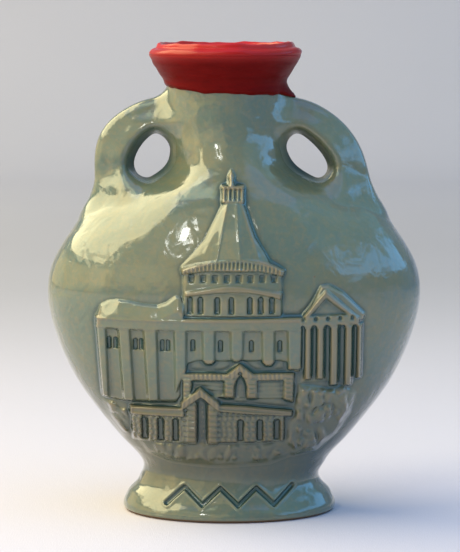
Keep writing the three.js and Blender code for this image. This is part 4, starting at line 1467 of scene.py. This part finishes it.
# Stage: the camera as the photograph was taken, by its focal length in pixels of a 460 by 552
# picture, and lamps: name, azimuth from the camera's, elevation, distance, size and radiance
PICTURE_HEIGHT = 552
FOCAL_PIXELS = 2362
CAMERA_PLACE = (-1.04, -608.95, 133.0)
CAMERA_AIM_Z = 61.2
CAMERA_CLIP = (0.01, 20)
SENSOR = 36.0
LAMPS = [
    ("window_left", -99, 43, 1150, (1560, 860), (5.1, 4.4, 2.4)),
    ("room_high", -44, 61, 900, (560, 230), (1.5, 1.7, 0.85)),
    ("sunlit_ground", -98, 8, 1150, (1900, 400), (1.1, 0.8, 0.32)),
    ("sunlit_yard", -60, 9, 1150, (1500, 340), (0.5, 0.36, 0.15)),
    ("room_left", -38, 22, 1000, (1300, 700), (0.78, 0.57, 0.22)),
    ("window_front", -24, 31, 700, (40, 90), (24, 24.5, 23)),
    ("soft_top", 0, 78, 900, (1300, 800), (0.15, 0.3, 0.8)),
]
# Sky through leaves, on the right: place, size, sky and leaf radiance, and width of a leafy patch
FOLIAGE_AZIMUTH, FOLIAGE_ELEVATION, FOLIAGE_DISTANCE = 80, 34, 1250
FOLIAGE_SIZE = (1820, 1010)
SKY_RADIANCE = (0.6, 1.5, 2.7)
THIN_RADIANCE = (0.5, 1.15, 1.6)
LEAF_RADIANCE = (0.27, 0.48, 0.56)
FOLIAGE_PATCH = 250
# Backdrop: half its width, its near and far edge, the round that it bends up on, how high it goes,
# and how far it lies under the foot, then where its tones change, by height and depth added up:
# painted shade darkens the far floor and the bend, and painted light brightens the top
SWEEP_HALF, SWEEP_NEAR, SWEEP_FAR = 1900, -1900, 1100
SWEEP_ROUND, SWEEP_HEIGHT, SWEEP_DROP = 260, 500, 0.05
SWEEP_TURNS = 17
SHADED_WALL_FADE = (-60, 520)
LIT_TOP_FADE = (550, 1250)
AMBIENT = (0.28, 0.37, 0.47)


class FLASK_OT_stage(bpy.types.Operator):
    """Camera, lamps, and a pale sweep of floor and backdrop"""
    bl_idname = "flask.stage"
    bl_label = "Stage"

    def execute(self, context):
        self.camera(context)
        for lamp in LAMPS:
            self.lamp(*lamp)
        self.foliage()
        self.sweep(context.scene.flask_colours)
        world = bpy.data.worlds.new("studio")
        context.scene.world = world
        world.use_nodes = True
        world.node_tree.nodes["Background"].inputs["Color"].default_value = (*AMBIENT, 1)
        context.scene.view_settings.view_transform = "Standard"
        return {"FINISHED"}

    def camera(self, context):
        data = bpy.data.cameras.new("camera")
        data.sensor_width = SENSOR
        data.lens = FOCAL_PIXELS / PICTURE_HEIGHT * SENSOR
        data.clip_start, data.clip_end = CAMERA_CLIP
        camera = new_object("camera", data)
        camera.location = Vector(CAMERA_PLACE) * MM
        way = Vector((CAMERA_PLACE[0], AXIS_Y, CAMERA_AIM_Z)) * MM - camera.location
        camera.rotation_euler = way.to_track_quat("-Z", "Y").to_euler()
        context.scene.camera = camera

    def lamp(self, name, azimuth, elevation, distance, size, radiance):
        """A rectangular lamp that faces the flask, from a direction counted from the camera's."""
        data = bpy.data.lights.new(name, "AREA")
        data.shape = "RECTANGLE"
        data.size, data.size_y = size[0] * MM, size[1] * MM
        data.color = [c / max(radiance) for c in radiance]
        data.energy = math.pi * data.size * data.size_y * max(radiance)
        self.face_flask(new_object(name, data), azimuth, elevation, distance)

    def face_flask(self, thing, azimuth, elevation, distance):
        turn, rise = math.radians(azimuth), math.radians(elevation)
        way = Vector((math.sin(turn) * math.cos(rise), -math.cos(turn) * math.cos(rise),
                      math.sin(rise)))
        thing.location = (way * distance + Vector((0, 0, BELLY_HEIGHT))) * MM
        thing.rotation_euler = way.to_track_quat("Z", "Y").to_euler()

    def foliage(self):
        """A card of sky seen through leaves, out of the picture, for the glaze to mirror."""
        wide, high = (size / 2 for size in FOLIAGE_SIZE)
        card = new_piece("foliage", [(-wide, -high, 0), (wide, -high, 0), (wide, high, 0),
                                     (-wide, high, 0)], [(0, 1, 2, 3)])
        leaves = Finish("foliage")
        patches = leaves.noise(FOLIAGE_PATCH, 4.0, 0.6, 1.2)
        open_sky = (patches - leaves.along(1) * 0.7).above(0.57, 0.65)
        gaps = leaves.noise(FOLIAGE_PATCH * 0.3, 3.0, 0.6, 1.5).above(0.42, 0.62) * 0.5
        tone = leaves.blend(gaps, (*LEAF_RADIANCE, 1), (*THIN_RADIANCE, 1))
        tone = leaves.blend(open_sky, tone, (*SKY_RADIANCE, 1))
        card.data.materials.append(leaves.surface(
            Base_Color=(0, 0, 0, 1), Roughness=1.0, Emission_Color=tone, Emission_Strength=1.0))
        self.face_flask(card, FOLIAGE_AZIMUTH, FOLIAGE_ELEVATION, FOLIAGE_DISTANCE)

    def sweep(self, colours):
        """Floor and backdrop in one sheet, bent up behind the flask: painted shade darkens it
        beyond the flask and painted light brightens its top.
        """
        profile = [(SWEEP_NEAR, 0), (SWEEP_FAR, 0)]
        for turn in np.linspace(0, math.pi / 2, SWEEP_TURNS)[1:]:
            profile.append((SWEEP_FAR + SWEEP_ROUND * math.sin(turn),
                            SWEEP_ROUND * (1 - math.cos(turn))))
        profile.append((SWEEP_FAR + SWEEP_ROUND, SWEEP_HEIGHT))
        points = [(x, y, z - SWEEP_DROP) for y, z in profile for x in (-SWEEP_HALF, SWEEP_HALF)]
        faces = [(2 * i, 2 * i + 1, 2 * i + 3, 2 * i + 2) for i in range(len(profile) - 1)]
        sheet = new_piece("sweep", points, faces)
        sheet.data.shade_smooth()
        paper = Finish("backdrop")
        weave = (paper.noise(2.4, 2.0, 0.6, stretch=(1, 1, 7))
                 + paper.noise(2.4, 2.0, 0.6, stretch=(7, 1, 1))) * 0.5
        # Painted shade and light: a darker backdrop tone beyond the flask, a lighter wall tone at
        # the top
        far = paper.along(2) + paper.along(1)
        tone = linear(colours.paper)
        for (start, end), other in ((SHADED_WALL_FADE, colours.backdrop), (LIT_TOP_FADE, colours.wall)):
            tone = paper.blend(far.above(start * MM, end * MM), tone, linear(other))
        shade = paper.blend(0.07, tone, (0, 0, 0, 1))
        tone = paper.blend((weave * 0.35 + paper.noise(120, 2.0) * 0.5 - 0.2).held(), tone, shade)
        sheet.data.materials.append(
            paper.surface(Base_Color=tone, Roughness=0.9, Normal=paper.bumps((weave, 0.1))))


OPERATORS = [
    FLASK_OT_belly, FLASK_OT_foot, FLASK_OT_handles, FLASK_OT_scene, FLASK_OT_wax, FLASK_OT_cork,
    FLASK_OT_stage,
]


class VIEW3D_PT_flask(bpy.types.Panel):
    bl_label = "Pilgrim's flask"
    bl_space_type = "VIEW_3D"
    bl_region_type = "UI"
    bl_category = "Flask"

    def draw(self, context):
        column = self.layout.column()
        for name in Flask_Sizes.__annotations__:
            column.prop(context.scene.flask_sizes, name)
        for name in Flask_Colours.__annotations__:
            column.prop(context.scene.flask_colours, name)
        for operator in OPERATORS:
            column.operator(operator.bl_idname)


CLASSES = [Flask_Sizes, Flask_Colours, *OPERATORS, VIEW3D_PT_flask]


def register():
    for item in CLASSES:
        bpy.utils.register_class(item)
    bpy.types.Scene.flask_sizes = bpy.props.PointerProperty(type=Flask_Sizes)
    bpy.types.Scene.flask_colours = bpy.props.PointerProperty(type=Flask_Colours)


def unregister():
    del bpy.types.Scene.flask_colours
    del bpy.types.Scene.flask_sizes
    for item in reversed(CLASSES):
        bpy.utils.unregister_class(item)


def main():
    register()
    bpy.ops.flask.belly()
    bpy.ops.flask.foot()
    bpy.ops.flask.handles()
    bpy.ops.flask.scene()
    bpy.ops.flask.wax()
    bpy.ops.flask.cork()
    bpy.ops.flask.stage()


if __name__ == "__main__":
    main()
